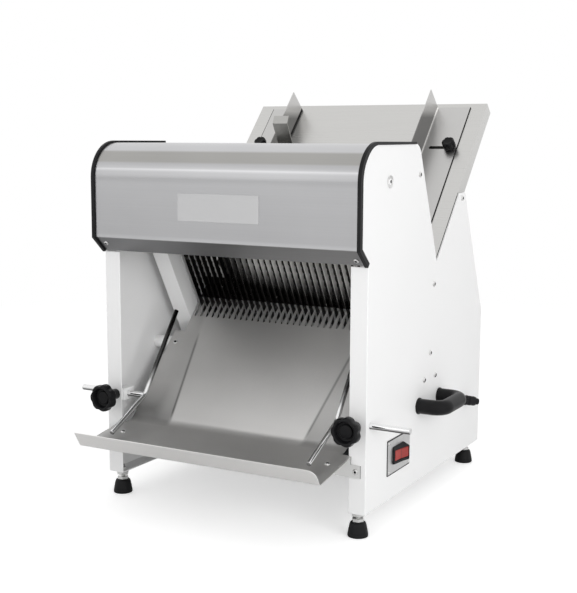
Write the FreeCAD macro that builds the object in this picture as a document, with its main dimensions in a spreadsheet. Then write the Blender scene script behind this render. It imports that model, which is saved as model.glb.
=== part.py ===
import FreeCAD, Part
import math
import os

import Sketcher

# Bench bread slicer with reciprocating blade frames.
#
# Row frame: X to the right, Y to the back, Z up, in millimetres. The origin lies on the
# surface that the slicer stands on, under the middle of its overall width and depth.
# Lengths along Y below are counted from the front face of the side panels' front flanges,
# and FLOOR, BLADES and CHUTE carry them to the row frame.

doc = FreeCAD.newDocument("bread_slicer")
sizes = doc.addObject("Spreadsheet::Sheet", "Sizes")

DRIVING_SIZES = {
    # side panels
    "half_width": 246.4,
    "panel_wall": 2.0,
    "flange_width": 29.4,
    "panel_bottom": 39.0,
    "panel_depth": 517.0,
    "panel_rear_height": 292.0,
    "ear_setback": 105.0,
    "ear_length": 30.0,
    "ear_round": 6.0,
    "notch_offset": 83.0,
    "tower_rear_offset": 3.0,
    "tower_rear_round": 26.0,
    "tower_top": 609.0,
    "tower_front": 31.0,
    "tower_front_round": 58.0,
    "chin_z": 452.0,
    "chin_angle": 42.0,
    "chin_length": 37.0,
    "flange_top": 425.0,
    # black edge trim
    "trim_proud": 3.0,
    "trim_lap": 6.0,
    "trim_wall": 2.0,
    "trim_setback": 17.0,
    # hood
    "hood_wall": 1.2,
    "hood_inset": 0.5,
    "hood_rear_lip": 68.0,
    "name_left": -76.0,
    "name_length": 150.0,
    "name_drop": 80.0,
    "name_height": 44.0,
    "name_wall": 0.8,
    # blades and their frames
    "comb_setback": 321.0,
    "comb_z": 322.0,
    "blade_lean": 30.0,
    "blade_side_gap": 7.5,
    "blade_pitch": 12.0,
    "blade_width": 12.0,
    "blade_wall": 0.8,
    "blade_stroke": 28.0,
    "frame_low": -115.0,
    "frame_high": 245.0,
    "frame_bar": 30.0,
    "frame_bar_depth": 20.5,
    "frame_blade_gap": 1.5,
    "frame_side_bar": 24.0,
    "frame_side_depth": 14.0,
    "frame_running_gap": 0.5,
    "hook_wall": 3.0,
    "hook_length": 12.0,
    # fixed guide channels of the blade frames
    "guide_depth": 32.0,
    "spacer_wall": 24.4,
    "spacer_height": 75.0,
    "guide_web": 4.0,
    "guide_rail": 22.0,
    "guide_low": -155.0,
    "guide_high": 275.0,
    # crank drive
    "rod_length": 95.0,
    "rod_wall": 10.0,
    "rod_width": 16.0,
    "rod_eye": 11.0,
    "wrist_bore": 5.0,
    "wrist_drop": 45.0,
    "lug_wall": 8.0,
    "crank_pin": 6.0,
    "crank_web": 10.0,
    "crank_web_round": 26.0,
    "crank_shaft": 10.0,
    "throw_near_x": 63.0,
    "throw_far_x": 113.0,
    "running_fit": 0.05,
    "face_gap": 0.4,
    "crank_pulley_round": 50.0,
    "motor_pulley_round": 22.0,
    "pulley_inset": 33.4,
    "pulley_wall": 18.0,
    "belt_wall": 4.0,
    "belt_width": 10.0,
    "bearing_round": 26.0,
    "bearing_wall": 18.0,
    "motor_setback": 77.0,
    "motor_z": 112.0,
    "motor_round": 58.0,
    "motor_left": 130.0,
    "motor_right": 80.0,
    "motor_shaft_round": 7.0,
    "cradle_wall": 12.0,
    "base_offset": 44.0,
    "base_setback": 45.0,
    # feed chute
    "chute_offset": 1.0,
    "chute_z": 320.0,
    "chute_slope": 47.5,
    "chute_side_gap": 1.4,
    "chute_wall": 1.5,
    "chute_length": 493.0,
    "chute_flange": 26.0,
    "chute_shoulder": 42.0,
    "chute_blade_gap": 9.5,
    # receiving tray
    "tray_side_gap": 11.0,
    "shelf_side_gap": 24.4,
    "tray_wall": 1.5,
    "tray_slope": 45.0,
    "tray_bend": 60.0,
    "tray_cross_offset": 24.0,
    "tray_cross_drop": 29.0,
    "comb_slot": 45.0,
    "comb_slot_width": 3.6,
    "comb_notch": 77.5,
    "shelf_slope": 10.0,
    "lip_fold_y": -106.0,
    "lip_fold_z": 114.0,
    "lip_rise": 24.5,
    "lip_lean": 15.0,
    "boss_round": 11.0,
    "boss_offset": 60.0,
    "boss_lap": 20.0,
    "bracket_wall": 2.0,
    "bracket_low": 97.0,
    "bracket_step": 118.0,
    "bracket_reach": 40.0,
    "bracket_lap": 28.0,
    "bracket_inset": 8.4,
    # front bread guides and their clamps
    "guide_rod_y": 16.0,
    "guide_rod_z": 178.5,
    "guide_rod_round": 5.0,
    "guide_rod_proud": 66.6,
    "bent_rod_round": 4.0,
    "left_guide_inset": 26.0,
    "right_guide_inset": 18.0,
    "bent_top_offset": 81.3,
    "bent_top_drop": 9.0,
    "bent_low_y": -77.5,
    "bent_low_z": 133.0,
    "bent_round": 24.0,
    "clamp_depth": 28.0,
    "clamp_height": 20.0,
    "clamp_width": 30.9,
    "knob_inset": 17.4,
    "knob_round": 23.5,
    "knob_face_y": 44.0,
    "knob_wall": 18.0,
    "knob_hub_round": 9.0,
    "knob_lobe_round": 6.5,
    "stud_round": 3.0,
    "slide_gap": 0.3,
    # loaf guides on the chute and the pusher
    "loaf_guide_inset": 96.0,
    "loaf_guide_height": 50.0,
    "loaf_guide_wall": 1.5,
    "loaf_guide_foot": 66.5,
    "loaf_guide_low": 55.0,
    "loaf_guide_high": 482.0,
    "loaf_slot_along": 380.0,
    "loaf_slot_inner": 11.0,
    "loaf_slot_outer": 59.0,
    "loaf_slot_width": 7.0,
    "loaf_stud_inset": 43.0,
    "loaf_knob_round": 12.5,
    "loaf_knob_height": 16.0,
    "loaf_knob_seat": 4.0,
    "pusher_side_gap": 9.0,
    "pusher_low": 330.0,
    "pusher_high": 385.0,
    "pusher_face": 60.0,
    "pusher_wall": 2.0,
    "handle_side_gap": 2.0,
    "handle_width": 32.0,
    "handle_low": 352.0,
    "handle_high": 379.0,
    "handle_foot": 12.0,
    "handle_rise": 45.0,
    "handle_lean": 12.0,
    "handle_fold": 84.5,
    "handle_top": 90.0,
    # carrying handles, switch, gland
    "carry_round": 12.75,
    "carry_offset": 13.0,
    "carry_spread": 93.0,
    "carry_z": 170.0,
    "carry_proud": 53.6,
    "carry_bend": 20.0,
    "switch_plate_front": 80.0,
    "switch_plate_rear": 171.0,
    "switch_plate_low": 80.0,
    "switch_plate_high": 138.5,
    "switch_plate_wall": 1.2,
    "switch_front": 96.0,
    "switch_rear": 152.0,
    "switch_low": 90.0,
    "switch_high": 124.0,
    "switch_stand": 12.0,
    "switch_rim": 4.0,
    "switch_roof": 7.5,
    "rocker_proud": 3.0,
    "gland_setback": 80.0,
    "gland_z": 134.0,
    "gland_round": 9.0,
    "gland_length": 27.0,
    "gland_bore": 4.5,
    # feet and fasteners
    "foot_front_y": 14.0,
    "foot_setback": 27.0,
    "foot_inset": 18.4,
    "foot_base_round": 16.5,
    "foot_top_round": 12.0,
    "foot_height": 24.0,
    "foot_nut_round": 9.5,
    "foot_nut_height": 6.0,
    "foot_stud_round": 4.0,
    "foot_stud_top": 52.0,
    "screw_round": 2.5,
    "screw_head_round": 5.0,
    "screw_head": 2.4,
    "ring_screw_round": 10.0,
    "ring_screw_inset": 105.0,
    "tie_round": 8.0,
    "tie_setback": 3.0,
    "tie_drop": 50.0,
    "spacer_screw_inset": 10.0,
    "chute_screw_low": 86.0,
    "chute_screw_high": 277.0,
    "chute_screw_drop": 18.0,
    "rear_cover_wall": 1.2,
    "rear_cover_low": 48.0,
    "rear_cover_top_gap": 34.0,
}

for row, (alias, number) in enumerate(DRIVING_SIZES.items(), start=1):
    sizes.set(f"A{row}", alias)
    sizes.set(f"B{row}", str(number))
    sizes.setAlias(f"B{row}", alias)
doc.recompute()


# ---------------------------------------------------------------- sizes as expressions
class Size:
    """A number together with the spreadsheet expression that it comes from."""

    def __init__(self, number, text):
        self.number = number
        self.text = text

    def __add__(self, other):
        return join(self, "+", other)

    def __radd__(self, other):
        return join(other, "+", self)

    def __sub__(self, other):
        return join(self, "-", other)

    def __rsub__(self, other):
        return join(other, "-", self)

    def __mul__(self, other):
        return join(self, "*", other)

    def __rmul__(self, other):
        return join(other, "*", self)

    def __truediv__(self, other):
        return join(self, "/", other)

    def __neg__(self):
        return join(0, "-", self)


OPERATIONS = {
    "+": lambda a, b: a + b,
    "-": lambda a, b: a - b,
    "*": lambda a, b: a * b,
    "/": lambda a, b: a / b,
}


def as_size(value):
    if isinstance(value, Size):
        return value
    return Size(float(value), f"({value})")


def join(left, sign, right):
    left = as_size(left)
    right = as_size(right)
    return Size(OPERATIONS[sign](left.number, right.number), f"({left.text} {sign} {right.text})")


def whole(value):
    """The whole number at or below a size."""
    value = as_size(value)
    return Size(float(math.floor(value.number)), f"floor({value.text})")


def sine(angle):
    return Size(math.sin(math.radians(angle.number)), f"sin({angle.text} * 1 deg)")


def cosine(angle):
    return Size(math.cos(math.radians(angle.number)), f"cos({angle.text} * 1 deg)")


def tangent(angle):
    return Size(math.tan(math.radians(angle.number)), f"tan({angle.text} * 1 deg)")


class Sheet:
    """The driving sizes by name, each as a Size."""

    def __getattr__(self, alias):
        return Size(float(getattr(sizes, alias)), f"Sizes.{alias}")


s = Sheet()


def bind(item, path, value):
    """Ties one property of an object to the spreadsheet."""
    if isinstance(value, Size):
        item.setExpression(path, value.text)


# ---------------------------------------------------------------- frames
class Frame:
    """A turned and shifted set of axes, in which a sub-part is drawn."""

    def __init__(self, y, z, tilt=None):
        self.y = y
        self.z = z
        self.tilt = tilt

    def place(self, item):
        item.Placement = FreeCAD.Placement(FreeCAD.Vector(), FreeCAD.Rotation(FreeCAD.Vector(1, 0, 0), 1))
        if self.tilt is None:
            item.Placement = FreeCAD.Placement()
        else:
            bind(item, "Placement.Rotation.Angle", self.tilt)
        bind(item, "Placement.Base.y", self.y)
        bind(item, "Placement.Base.z", self.z)


comb_y = s.panel_depth - s.comb_setback
chute_y = comb_y + s.chute_offset
tray_front = s.lip_fold_y - s.lip_lean
chute_rear = chute_y + s.chute_length * cosine(s.chute_slope) + s.chute_flange * sine(s.chute_slope)
depth_middle = (tray_front + chute_rear) / 2
FLOOR = Frame(-depth_middle, 0)
# along the blades: X, Y through the loaf, Z up the blade
BLADES = Frame(comb_y - depth_middle, s.comb_z, s.blade_lean)
# on the feed chute: X, Y up the slope, Z square to it
CHUTE = Frame(chute_y - depth_middle, s.chute_z, s.chute_slope)

NODES = {}


def keep(item, label, frame=None):
    """Registers a finished sub-part under the name of its file."""
    item.Label = label
    if frame is not None:
        frame.place(item)
    NODES[label] = item
    return item


# ---------------------------------------------------------------- sketches
class Circle:
    def __init__(self, x, y, radius):
        self.x = x
        self.y = y
        self.radius = radius


def point(x, y):
    return FreeCAD.Vector(x, y, 0)


def pin_point(sketch, geometry, position, x, y):
    """Holds one point of a sketch at a place from the spreadsheet."""
    for kind, value in (("DistanceX", x), ("DistanceY", y)):
        size = as_size(value)
        constraint = Sketcher.Constraint(kind, -1, 1, geometry, position, size.number)
        index = sketch.addConstraint(constraint)
        bind(sketch, f"Constraints[{index}]", value)


def draw_circle(sketch, circle):
    x = as_size(circle.x).number
    y = as_size(circle.y).number
    radius = as_size(circle.radius).number
    ring = sketch.addGeometry(Part.Circle(point(x, y), FreeCAD.Vector(0, 0, 1), radius), False)
    pin_point(sketch, ring, 3, circle.x, circle.y)
    index = sketch.addConstraint(Sketcher.Constraint("Radius", ring, radius))
    bind(sketch, f"Constraints[{index}]", circle.radius)


def corner_ends(corners, index):
    """Where the rounding of one corner starts and ends, and its centre."""
    x, y, radius = corners[index]
    before = corners[index - 1]
    after = corners[(index + 1) % len(corners)]
    towards = point(before[0] - x, before[1] - y).normalize()
    away = point(after[0] - x, after[1] - y).normalize()
    here = point(x, y)
    if radius == 0:
        return here, here, here
    half = towards.getAngle(away) / 2
    reach = radius / math.tan(half)
    middle = (towards + away).normalize()
    centre = here + middle * math.hypot(reach, radius)
    return here + towards * reach, centre, here + away * reach


def add_arc(sketch, start, centre, stop):
    """An arc of less than half a turn, and the point numbers of its start and of its stop."""
    from_start = start - centre
    from_stop = stop - centre
    points = (1, 2)
    if from_start.cross(from_stop).z < 0:
        from_start, from_stop = from_stop, from_start
        points = (2, 1)
    turn = math.atan2(from_start.y, from_start.x)
    sweep = from_start.getAngle(from_stop)
    circle = Part.Circle(centre, FreeCAD.Vector(0, 0, 1), from_start.Length)
    return sketch.addGeometry(Part.ArcOfCircle(circle, turn, turn + sweep), False), points


def draw_outline(sketch, outline):
    """A closed outline of corners (x, y) or (x, y, rounding), held by its corners."""
    full = []
    for corner in outline:
        full.append(corner if len(corner) == 3 else (*corner, 0))
    corners = []
    for corner in full:
        corners.append(tuple(as_size(value).number for value in corner))
    count = len(corners)
    ends = [corner_ends(corners, index) for index in range(count)]
    lines = []
    for index in range(count):
        start = ends[index][2]
        stop = ends[(index + 1) % count][0]
        lines.append(sketch.addGeometry(Part.LineSegment(start, stop), False))
    for index, (x, y, radius) in enumerate(full):
        line_in = lines[index - 1]
        line_out = lines[index]
        if corners[index][2] == 0:
            sketch.addConstraint(Sketcher.Constraint("Coincident", line_in, 2, line_out, 1))
            pin_point(sketch, line_out, 1, x, y)
            continue
        arc, points = add_arc(sketch, *ends[index])
        sketch.addConstraint(Sketcher.Constraint("Tangent", line_in, 2, arc, points[0]))
        sketch.addConstraint(Sketcher.Constraint("Tangent", line_out, 1, arc, points[1]))
        rounding = sketch.addConstraint(Sketcher.Constraint("Radius", arc, corners[index][2]))
        bind(sketch, f"Constraints[{rounding}]", radius)
        corner = sketch.addGeometry(Part.Point(point(corners[index][0], corners[index][1])), True)
        sketch.addConstraint(Sketcher.Constraint("PointOnObject", corner, 1, line_in))
        sketch.addConstraint(Sketcher.Constraint("PointOnObject", corner, 1, line_out))
        pin_point(sketch, corner, 1, x, y)


def box_outline(x0, y0, x1, y1, rounding=0):
    return [(x0, y0, rounding), (x1, y0, rounding), (x1, y1, rounding), (x0, y1, rounding)]


# ---------------------------------------------------------------- solids
# sketch axes of each origin plane: XY draws X,Y; XZ draws X,Z; YZ draws Y,Z
def new_body(label, frame=FLOOR):
    body = doc.addObject("PartDesign::Body", label)
    body.AllowCompound = True
    return keep(body, label, frame)


def new_sketch(body, plane, offset, drawings):
    sketch = body.newObject("Sketcher::SketchObject", f"{body.Label}_sketch")
    origin_plane = [item for item in body.Origin.OriginFeatures if item.Role == f"{plane}_Plane"][0]
    sketch.AttachmentSupport = [(origin_plane, "")]
    sketch.MapMode = "FlatFace"
    sketch.AttachmentOffset = FreeCAD.Placement(FreeCAD.Vector(0, 0, as_size(offset).number), FreeCAD.Rotation())
    bind(sketch, "AttachmentOffset.Base.z", offset)
    for drawing in drawings:
        if isinstance(drawing, Circle):
            draw_circle(sketch, drawing)
        else:
            draw_outline(sketch, drawing)
    return sketch


def add(body, plane, start, end, *drawings):
    """Pads drawings between two places on the axis square to their plane."""
    offset = -as_size(end) if plane == "XZ" else start
    sketch = new_sketch(body, plane, offset, drawings)
    feature = body.newObject("PartDesign::Pad", f"{body.Label}_pad")
    feature.Profile = sketch
    bind(feature, "Length", as_size(end) - start)
    return feature


def cut(body, plane, start, end, *drawings):
    """Pockets drawings between two places on the axis square to their plane."""
    offset = -as_size(start) if plane == "XZ" else end
    sketch = new_sketch(body, plane, offset, drawings)
    feature = body.newObject("PartDesign::Pocket", f"{body.Label}_pocket")
    feature.Profile = sketch
    bind(feature, "Length", as_size(end) - start)
    return feature


def span(side, near, far):
    """The stretch from near to far off the middle plane, on the right (1) or left (-1)."""
    if side > 0:
        return near, far
    return -as_size(far), -as_size(near)


def hollow(body, feature, wall, is_open):
    """Turns a padded solid into bent sheet: the faces that is_open picks are taken away."""
    doc.recompute()
    names = []
    for index, face in enumerate(feature.Shape.Faces, start=1):
        if is_open(face):
            names.append(f"Face{index}")
    shell = body.newObject("PartDesign::Thickness", f"{body.Label}_sheet")
    shell.Base = (feature, names)
    shell.Reversed = True
    shell.Mode = 0
    shell.Join = 0
    bind(shell, "Value", wall)
    return shell


def cylinder(name, axis, x, y, z, radius, length):
    """A Part cylinder that starts at (x, y, z) and runs along one axis."""
    item = doc.addObject("Part::Cylinder", name)
    turns = {"X": (FreeCAD.Vector(0, 1, 0), 90), "Y": (FreeCAD.Vector(1, 0, 0), -90), "Z": (FreeCAD.Vector(0, 0, 1), 0)}
    item.Placement = FreeCAD.Placement(FreeCAD.Vector(), FreeCAD.Rotation(*turns[axis]))
    bind(item, "Placement.Base.x", as_size(x))
    bind(item, "Placement.Base.y", as_size(y))
    bind(item, "Placement.Base.z", as_size(z))
    bind(item, "Radius", as_size(radius))
    bind(item, "Height", as_size(length))
    return item


def cone(name, x, y, z, low_radius, high_radius, height):
    """A Part cone that stands along Z on (x, y, z)."""
    item = doc.addObject("Part::Cone", name)
    bind(item, "Placement.Base.x", as_size(x))
    bind(item, "Placement.Base.y", as_size(y))
    bind(item, "Placement.Base.z", as_size(z))
    bind(item, "Radius1", as_size(low_radius))
    bind(item, "Radius2", as_size(high_radius))
    bind(item, "Height", as_size(height))
    return item


def fuse(name, parts):
    item = doc.addObject("Part::MultiFuse", name)
    item.Shapes = parts
    item.Refine = True
    return item


def group(label, parts, frame):
    """Separate solids that share one node."""
    item = doc.addObject("Part::Compound", label)
    item.Links = parts
    return keep(item, label, frame)


SIDES = {"left": -1, "right": 1}

# ---------------------------------------------------------------- shared places
panel_inner = s.half_width - s.panel_wall
flange_inner = s.half_width - s.flange_width
top_of_flange = s.panel_bottom + s.panel_wall
base_top = top_of_flange + s.panel_wall
tower_rear_y = comb_y - s.tower_rear_offset
notch_y = comb_y + s.notch_offset
trim_end_y = tower_rear_y - s.trim_setback
tray_cross_y = comb_y - s.tray_cross_offset
tray_cross_z = s.comb_z - s.tray_cross_drop
boss_y = comb_y - s.boss_offset
carry_front_y = comb_y + s.carry_offset
carry_rear_y = carry_front_y + s.carry_spread
ear_rear_y = s.panel_depth - s.ear_setback
ear_front_y = ear_rear_y - s.ear_length
motor_y = s.panel_depth - s.motor_setback
gland_y = s.panel_depth - s.gland_setback
foot_rear_y = s.panel_depth - s.foot_setback
foot_x = s.half_width - s.foot_inset
guide_outer_x = panel_inner - s.spacer_wall
guide_inner_x = guide_outer_x - s.guide_depth
pulley_x = panel_inner - s.pulley_inset
chute_half_width = panel_inner - s.chute_side_gap
loaf_guide_x = chute_half_width - s.loaf_guide_inset
loaf_stud_x = chute_half_width - s.loaf_stud_inset
pusher_half_width = loaf_guide_x - s.pusher_side_gap
tray_half_width = flange_inner - s.tray_side_gap
shelf_half_width = s.half_width - s.shelf_side_gap
knob_x = s.half_width - s.knob_inset
guide_rod_end = s.half_width + s.guide_rod_proud
ring_screw_y = s.ring_screw_inset - s.tower_front
ring_screw_z = s.tower_top - s.tower_front_round
tie_y = tower_rear_y + s.tie_setback
tie_z = s.tower_top - s.tie_drop


def chute_line(y):
    """Height of the chute's upper surface above a point of the floor."""
    return s.chute_z + (y - chute_y) * tangent(s.chute_slope)


def tower_edge(inset):
    """The tower's front edge from the chin up to the top, moved inwards by inset."""
    angle = s.chin_angle
    front = inset - s.tower_front
    chin_end_y = s.chin_length * cosine(angle) - s.tower_front + inset * sine(angle)
    chin_end_z = s.chin_z - s.chin_length * sine(angle) + inset * cosine(angle)
    chin_z = s.chin_z + inset * (1 - sine(angle)) / cosine(angle)
    return [
        (chin_end_y, chin_end_z),
        (front, chin_z),
        (front, s.tower_top - inset, s.tower_front_round - inset),
    ]


def turned(origin_y, origin_z, slope, along, up):
    """A place given on sloping axes, counted from the panels' front and from the floor."""
    y = origin_y + along * cosine(slope) - up * sine(slope)
    z = origin_z + along * sine(slope) + up * cosine(slope)
    return y, z


# fixings of the tower tie, of the feed chute's flanges and of the blade guides' spacers
channel_half = s.frame_side_depth + 2 * s.frame_running_gap
rail_end = channel_half + s.guide_rail
spacer_half = rail_end - 2 * s.guide_web
spacer_top = s.guide_low + s.spacer_height
spacer_screw = spacer_half - s.spacer_screw_inset
chute_origin = (chute_y, s.chute_z, s.chute_slope)
blade_origin = (comb_y, s.comb_z, s.blade_lean)
PANEL_SCREWS = [
    (tie_y, tie_z),
    turned(*chute_origin, s.chute_screw_low, -s.chute_screw_drop),
    turned(*chute_origin, s.chute_screw_high, -s.chute_screw_drop),
    turned(*blade_origin, spacer_screw, spacer_top - s.spacer_screw_inset),
    turned(*blade_origin, spacer_screw, s.guide_low + s.spacer_screw_inset * 1.5),
    turned(*blade_origin, -spacer_screw - s.spacer_screw_inset / 2, s.guide_low + s.spacer_height * 0.53),
]


# ---------------------------------------------------------------- side panels
ear_z = chute_line(ear_front_y)


def side_panel(name, side):
    body = new_body(f"side_panel_{name}")
    outline = [
        (0, s.panel_bottom),
        (s.panel_depth, s.panel_bottom),
        (s.panel_depth, s.panel_rear_height),
        (ear_rear_y, ear_z, s.ear_round),
        (ear_front_y, ear_z),
        (notch_y, chute_line(notch_y)),
        (tower_rear_y, s.tower_top, s.tower_rear_round),
        *reversed(tower_edge(0)),
        (0, s.flange_top),
    ]
    inner = span(side, flange_inner, panel_inner)
    add(body, "YZ", *span(side, panel_inner, s.half_width), outline)
    add(body, "YZ", *inner, box_outline(0, s.panel_bottom, s.panel_wall, s.flange_top))
    add(body, "YZ", *inner, box_outline(s.panel_wall, s.panel_bottom, s.panel_depth, top_of_flange))
    rear_flange = box_outline(s.panel_depth - s.panel_wall, top_of_flange, s.panel_depth, s.panel_rear_height)
    add(body, "YZ", *inner, rear_flange)
    stud_holes = []
    for foot_y in (s.foot_front_y, foot_rear_y):
        stud_holes.append(Circle(side * foot_x, foot_y, s.foot_stud_round + s.slide_gap))
    cut(body, "XY", s.panel_bottom, top_of_flange, *stud_holes)
    clamp_hole = Circle(side * knob_x, s.guide_rod_z, s.stud_round + s.slide_gap)
    cut(body, "XZ", 0, s.panel_wall, clamp_hole)
    wall_holes = [
        Circle(s.guide_rod_y, s.guide_rod_z, s.guide_rod_round + s.slide_gap),
        Circle(ring_screw_y, ring_screw_z, s.screw_round + s.running_fit),
    ]
    for screw_y, screw_z in PANEL_SCREWS:
        wall_holes.append(Circle(screw_y, screw_z, s.screw_round + s.running_fit))
    cut(body, "YZ", *span(side, panel_inner, s.half_width), *wall_holes)


def edge_trim(name, side):
    """U-shaped strip pushed over the tower's front and top edge."""
    body = new_body(f"edge_trim_{name}")
    outer = tower_edge(-as_size(s.trim_proud))
    inner = tower_edge(s.trim_lap)
    band = [
        *outer,
        (trim_end_y, s.tower_top + s.trim_proud),
        (trim_end_y, s.tower_top - s.trim_lap),
        *reversed(inner),
    ]
    edge = tower_edge(0)
    below = (edge[0][0] + s.tower_front, edge[0][1] - s.tower_front)
    slot = [below, *edge, (trim_end_y + s.tower_front, s.tower_top), (trim_end_y + s.tower_front, below[1])]
    across = span(side, panel_inner - s.trim_wall, s.half_width + s.trim_wall)
    add(body, "YZ", *across, band)
    cut(body, "YZ", *span(side, panel_inner, s.half_width), slot)


for name, side in SIDES.items():
    side_panel(name, side)
    edge_trim(name, side)


# ---------------------------------------------------------------- hood
hood_half = panel_inner - s.trim_wall - s.slide_gap
hood_edge = tower_edge(s.hood_inset)


def hood():
    """Bent sheet over the blade frames, with a chin, a face, a top and a lip at the back."""
    body = new_body("hood")
    top = s.tower_top - s.hood_inset
    lean = (notch_y - tower_rear_y) / (s.tower_top - chute_line(notch_y))
    lip_drop = s.hood_rear_lip
    lip_end = (tower_rear_y + lip_drop * lean, top - lip_drop)
    outline = [*hood_edge, (tower_rear_y, top, s.tower_rear_round), lip_end]
    solid = add(body, "YZ", -hood_half, hood_half, outline)
    chin = FreeCAD.Vector(0, hood_edge[0][0].number, hood_edge[0][1].number)
    lip = FreeCAD.Vector(0, lip_end[0].number, lip_end[1].number)
    middle = (chin + lip) * 0.5

    def is_open(face):
        centre = face.CenterOfMass
        at_end = abs(abs(centre.x) - hood_half.number) < 0.01
        return at_end or centre.distanceToPoint(middle) < 0.01

    hollow(body, solid, s.hood_wall, is_open)


def name_plate():
    """Plain blank plate on the hood's face."""
    body = new_body("blank_name_plate")
    face = s.hood_inset - s.tower_front
    high = s.tower_top - s.name_drop
    outline = box_outline(s.name_left, high - s.name_height, s.name_left + s.name_length, high)
    add(body, "XZ", face - s.name_wall, face, outline)


hood()
name_plate()


# ---------------------------------------------------------------- blade frames and guides
blade_edge = s.blade_width / 2
bar_near = blade_edge + s.frame_blade_gap
side_near = s.frame_running_gap
side_far = s.frame_running_gap + s.frame_side_depth
side_bar_inner = guide_outer_x - s.guide_web - s.frame_running_gap - s.frame_side_bar
side_bar_outer = side_bar_inner + s.frame_side_bar
crank_throw = s.blade_stroke / 2
wrist_z = s.frame_low - s.wrist_drop
crank_z = wrist_z - s.rod_length
FRAMES = {"front": (-1, s.throw_far_x), "rear": (1, s.throw_near_x)}
half_count = whole((guide_inner_x - s.blade_side_gap) / s.blade_pitch)


def blade_guide(name, side):
    """Upright channel in which both blade frames slide."""
    body = new_body(f"blade_guide_{name}", BLADES)
    near = side * guide_inner_x
    far = side * guide_outer_x
    web = side * (guide_outer_x - s.guide_web)
    outline = [
        (near, -rail_end), (far, -rail_end), (far, rail_end), (near, rail_end),
        (near, channel_half), (web, channel_half), (web, -channel_half), (near, -channel_half),
    ]
    add(body, "XY", s.guide_low, s.guide_high, outline)


def blade_frame(name, through, throw_x):
    """Rectangular frame with a lug for each of its two connecting rods."""
    body = new_body(f"blade_frame_{name}", BLADES)
    near = bar_near if through > 0 else -side_far
    far = side_far if through > 0 else -bar_near
    window_low = s.frame_low + s.frame_bar
    window_high = s.frame_high - s.frame_bar
    outer = box_outline(-side_bar_outer, s.frame_low, side_bar_outer, s.frame_high)
    window = box_outline(-side_bar_inner, window_low, side_bar_inner, window_high)
    add(body, "XZ", near, far, outer, window)
    side_bars = []
    for side in SIDES.values():
        side_bars.append(box_outline(side * side_bar_inner, s.frame_low, side * side_bar_outer, s.frame_high))
    bars = span(through, side_near, bar_near)
    add(body, "XZ", *bars, *side_bars)
    cross_half = guide_inner_x - s.frame_running_gap
    cross_bars = [
        box_outline(-cross_half, s.frame_low, cross_half, window_low),
        box_outline(-cross_half, window_high, cross_half, s.frame_high),
    ]
    add(body, "XZ", *span(through, side_far, bar_near + s.frame_bar_depth), *cross_bars)
    lug_y = through * crank_throw
    for side in SIDES.values():
        lug_far = throw_x - s.rod_wall / 2 - s.face_gap
        lug = span(side, lug_far - s.lug_wall, lug_far)
        add(body, "YZ", *lug, box_outline(lug_y - s.rod_eye, wrist_z, lug_y + s.rod_eye, s.frame_low))
        add(body, "YZ", *lug, Circle(lug_y, wrist_z, s.rod_eye))
        cut(body, "YZ", *lug, Circle(lug_y, wrist_z, s.wrist_bore))


def blades(name, through, first):
    """The thin steel blades of one frame, two pitches apart."""
    count = half_count + first
    body = new_body(f"blades_{name}", BLADES)
    start = -(count - 1) * s.blade_pitch
    low = s.frame_low + s.hook_wall
    high = s.frame_high - s.hook_wall
    blade = add(
        body, "YZ", start - s.blade_wall / 2, start + s.blade_wall / 2,
        box_outline(-blade_edge, low, blade_edge, high),
    )
    repeat(body, blade, count, 2 * s.blade_pitch)


def blade_hooks(name, through, first):
    """Clips that hold each blade to the two cross bars of its frame."""
    count = half_count + first
    body = new_body(f"blade_hooks_{name}", BLADES)
    start = -(count - 1) * s.blade_pitch + s.blade_wall / 2
    near, far = span(through, 0, bar_near)
    low = s.frame_low + s.frame_bar / 2 - s.hook_length / 2
    high = s.frame_high - s.frame_bar / 2 - s.hook_length / 2
    clips = add(
        body, "YZ", start, start + s.hook_wall,
        box_outline(near, low, far, low + s.hook_length),
        box_outline(near, high, far, high + s.hook_length),
    )
    repeat(body, clips, count, 2 * s.blade_pitch)


def repeat(body, feature, count, pitch):
    pattern = body.newObject("PartDesign::LinearPattern", f"{body.Label}_row")
    pattern.Originals = [feature]
    origin_plane = [item for item in body.Origin.OriginFeatures if item.Role == "YZ_Plane"][0]
    pattern.Direction = (origin_plane, [""])
    bind(pattern, "Length", (as_size(count) - 1) * pitch)
    bind(pattern, "Occurrences", as_size(count))
    body.Tip = pattern
    return pattern


def connecting_rods(name, through, throw_x):
    """Two flat rods with an eye at each end."""
    body = new_body(f"connecting_rods_{name}", BLADES)
    rod_y = through * crank_throw
    for side in SIDES.values():
        rod = span(side, throw_x - s.rod_wall / 2, throw_x + s.rod_wall / 2)
        shank = box_outline(rod_y - s.rod_width / 2, crank_z, rod_y + s.rod_width / 2, wrist_z)
        add(body, "YZ", *rod, shank)
        add(body, "YZ", *rod, Circle(rod_y, wrist_z, s.rod_eye))
        add(body, "YZ", *rod, Circle(rod_y, crank_z, s.rod_eye))
        cut(body, "YZ", *rod, Circle(rod_y, wrist_z, s.wrist_bore))
        cut(body, "YZ", *rod, Circle(rod_y, crank_z, s.crank_pin + s.running_fit))


for name, side in SIDES.items():
    blade_guide(name, side)
for name, (through, throw_x) in FRAMES.items():
    blade_frame(name, through, throw_x)
    blades(name, through, 1 if through < 0 else 0)
    blade_hooks(name, through, 1 if through < 0 else 0)
    connecting_rods(name, through, throw_x)


def guide_spacers():
    """Blocks that carry the blade guides on the side panels."""
    body = new_body("guide_spacers", BLADES)
    for side in SIDES.values():
        across = span(side, guide_outer_x, panel_inner)
        lower = box_outline(-spacer_half, s.guide_low, spacer_half, spacer_top)
        upper = box_outline(-s.boss_round, s.guide_high - s.frame_bar, spacer_half, s.guide_high)
        add(body, "YZ", *across, lower, upper)


guide_spacers()


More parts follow.
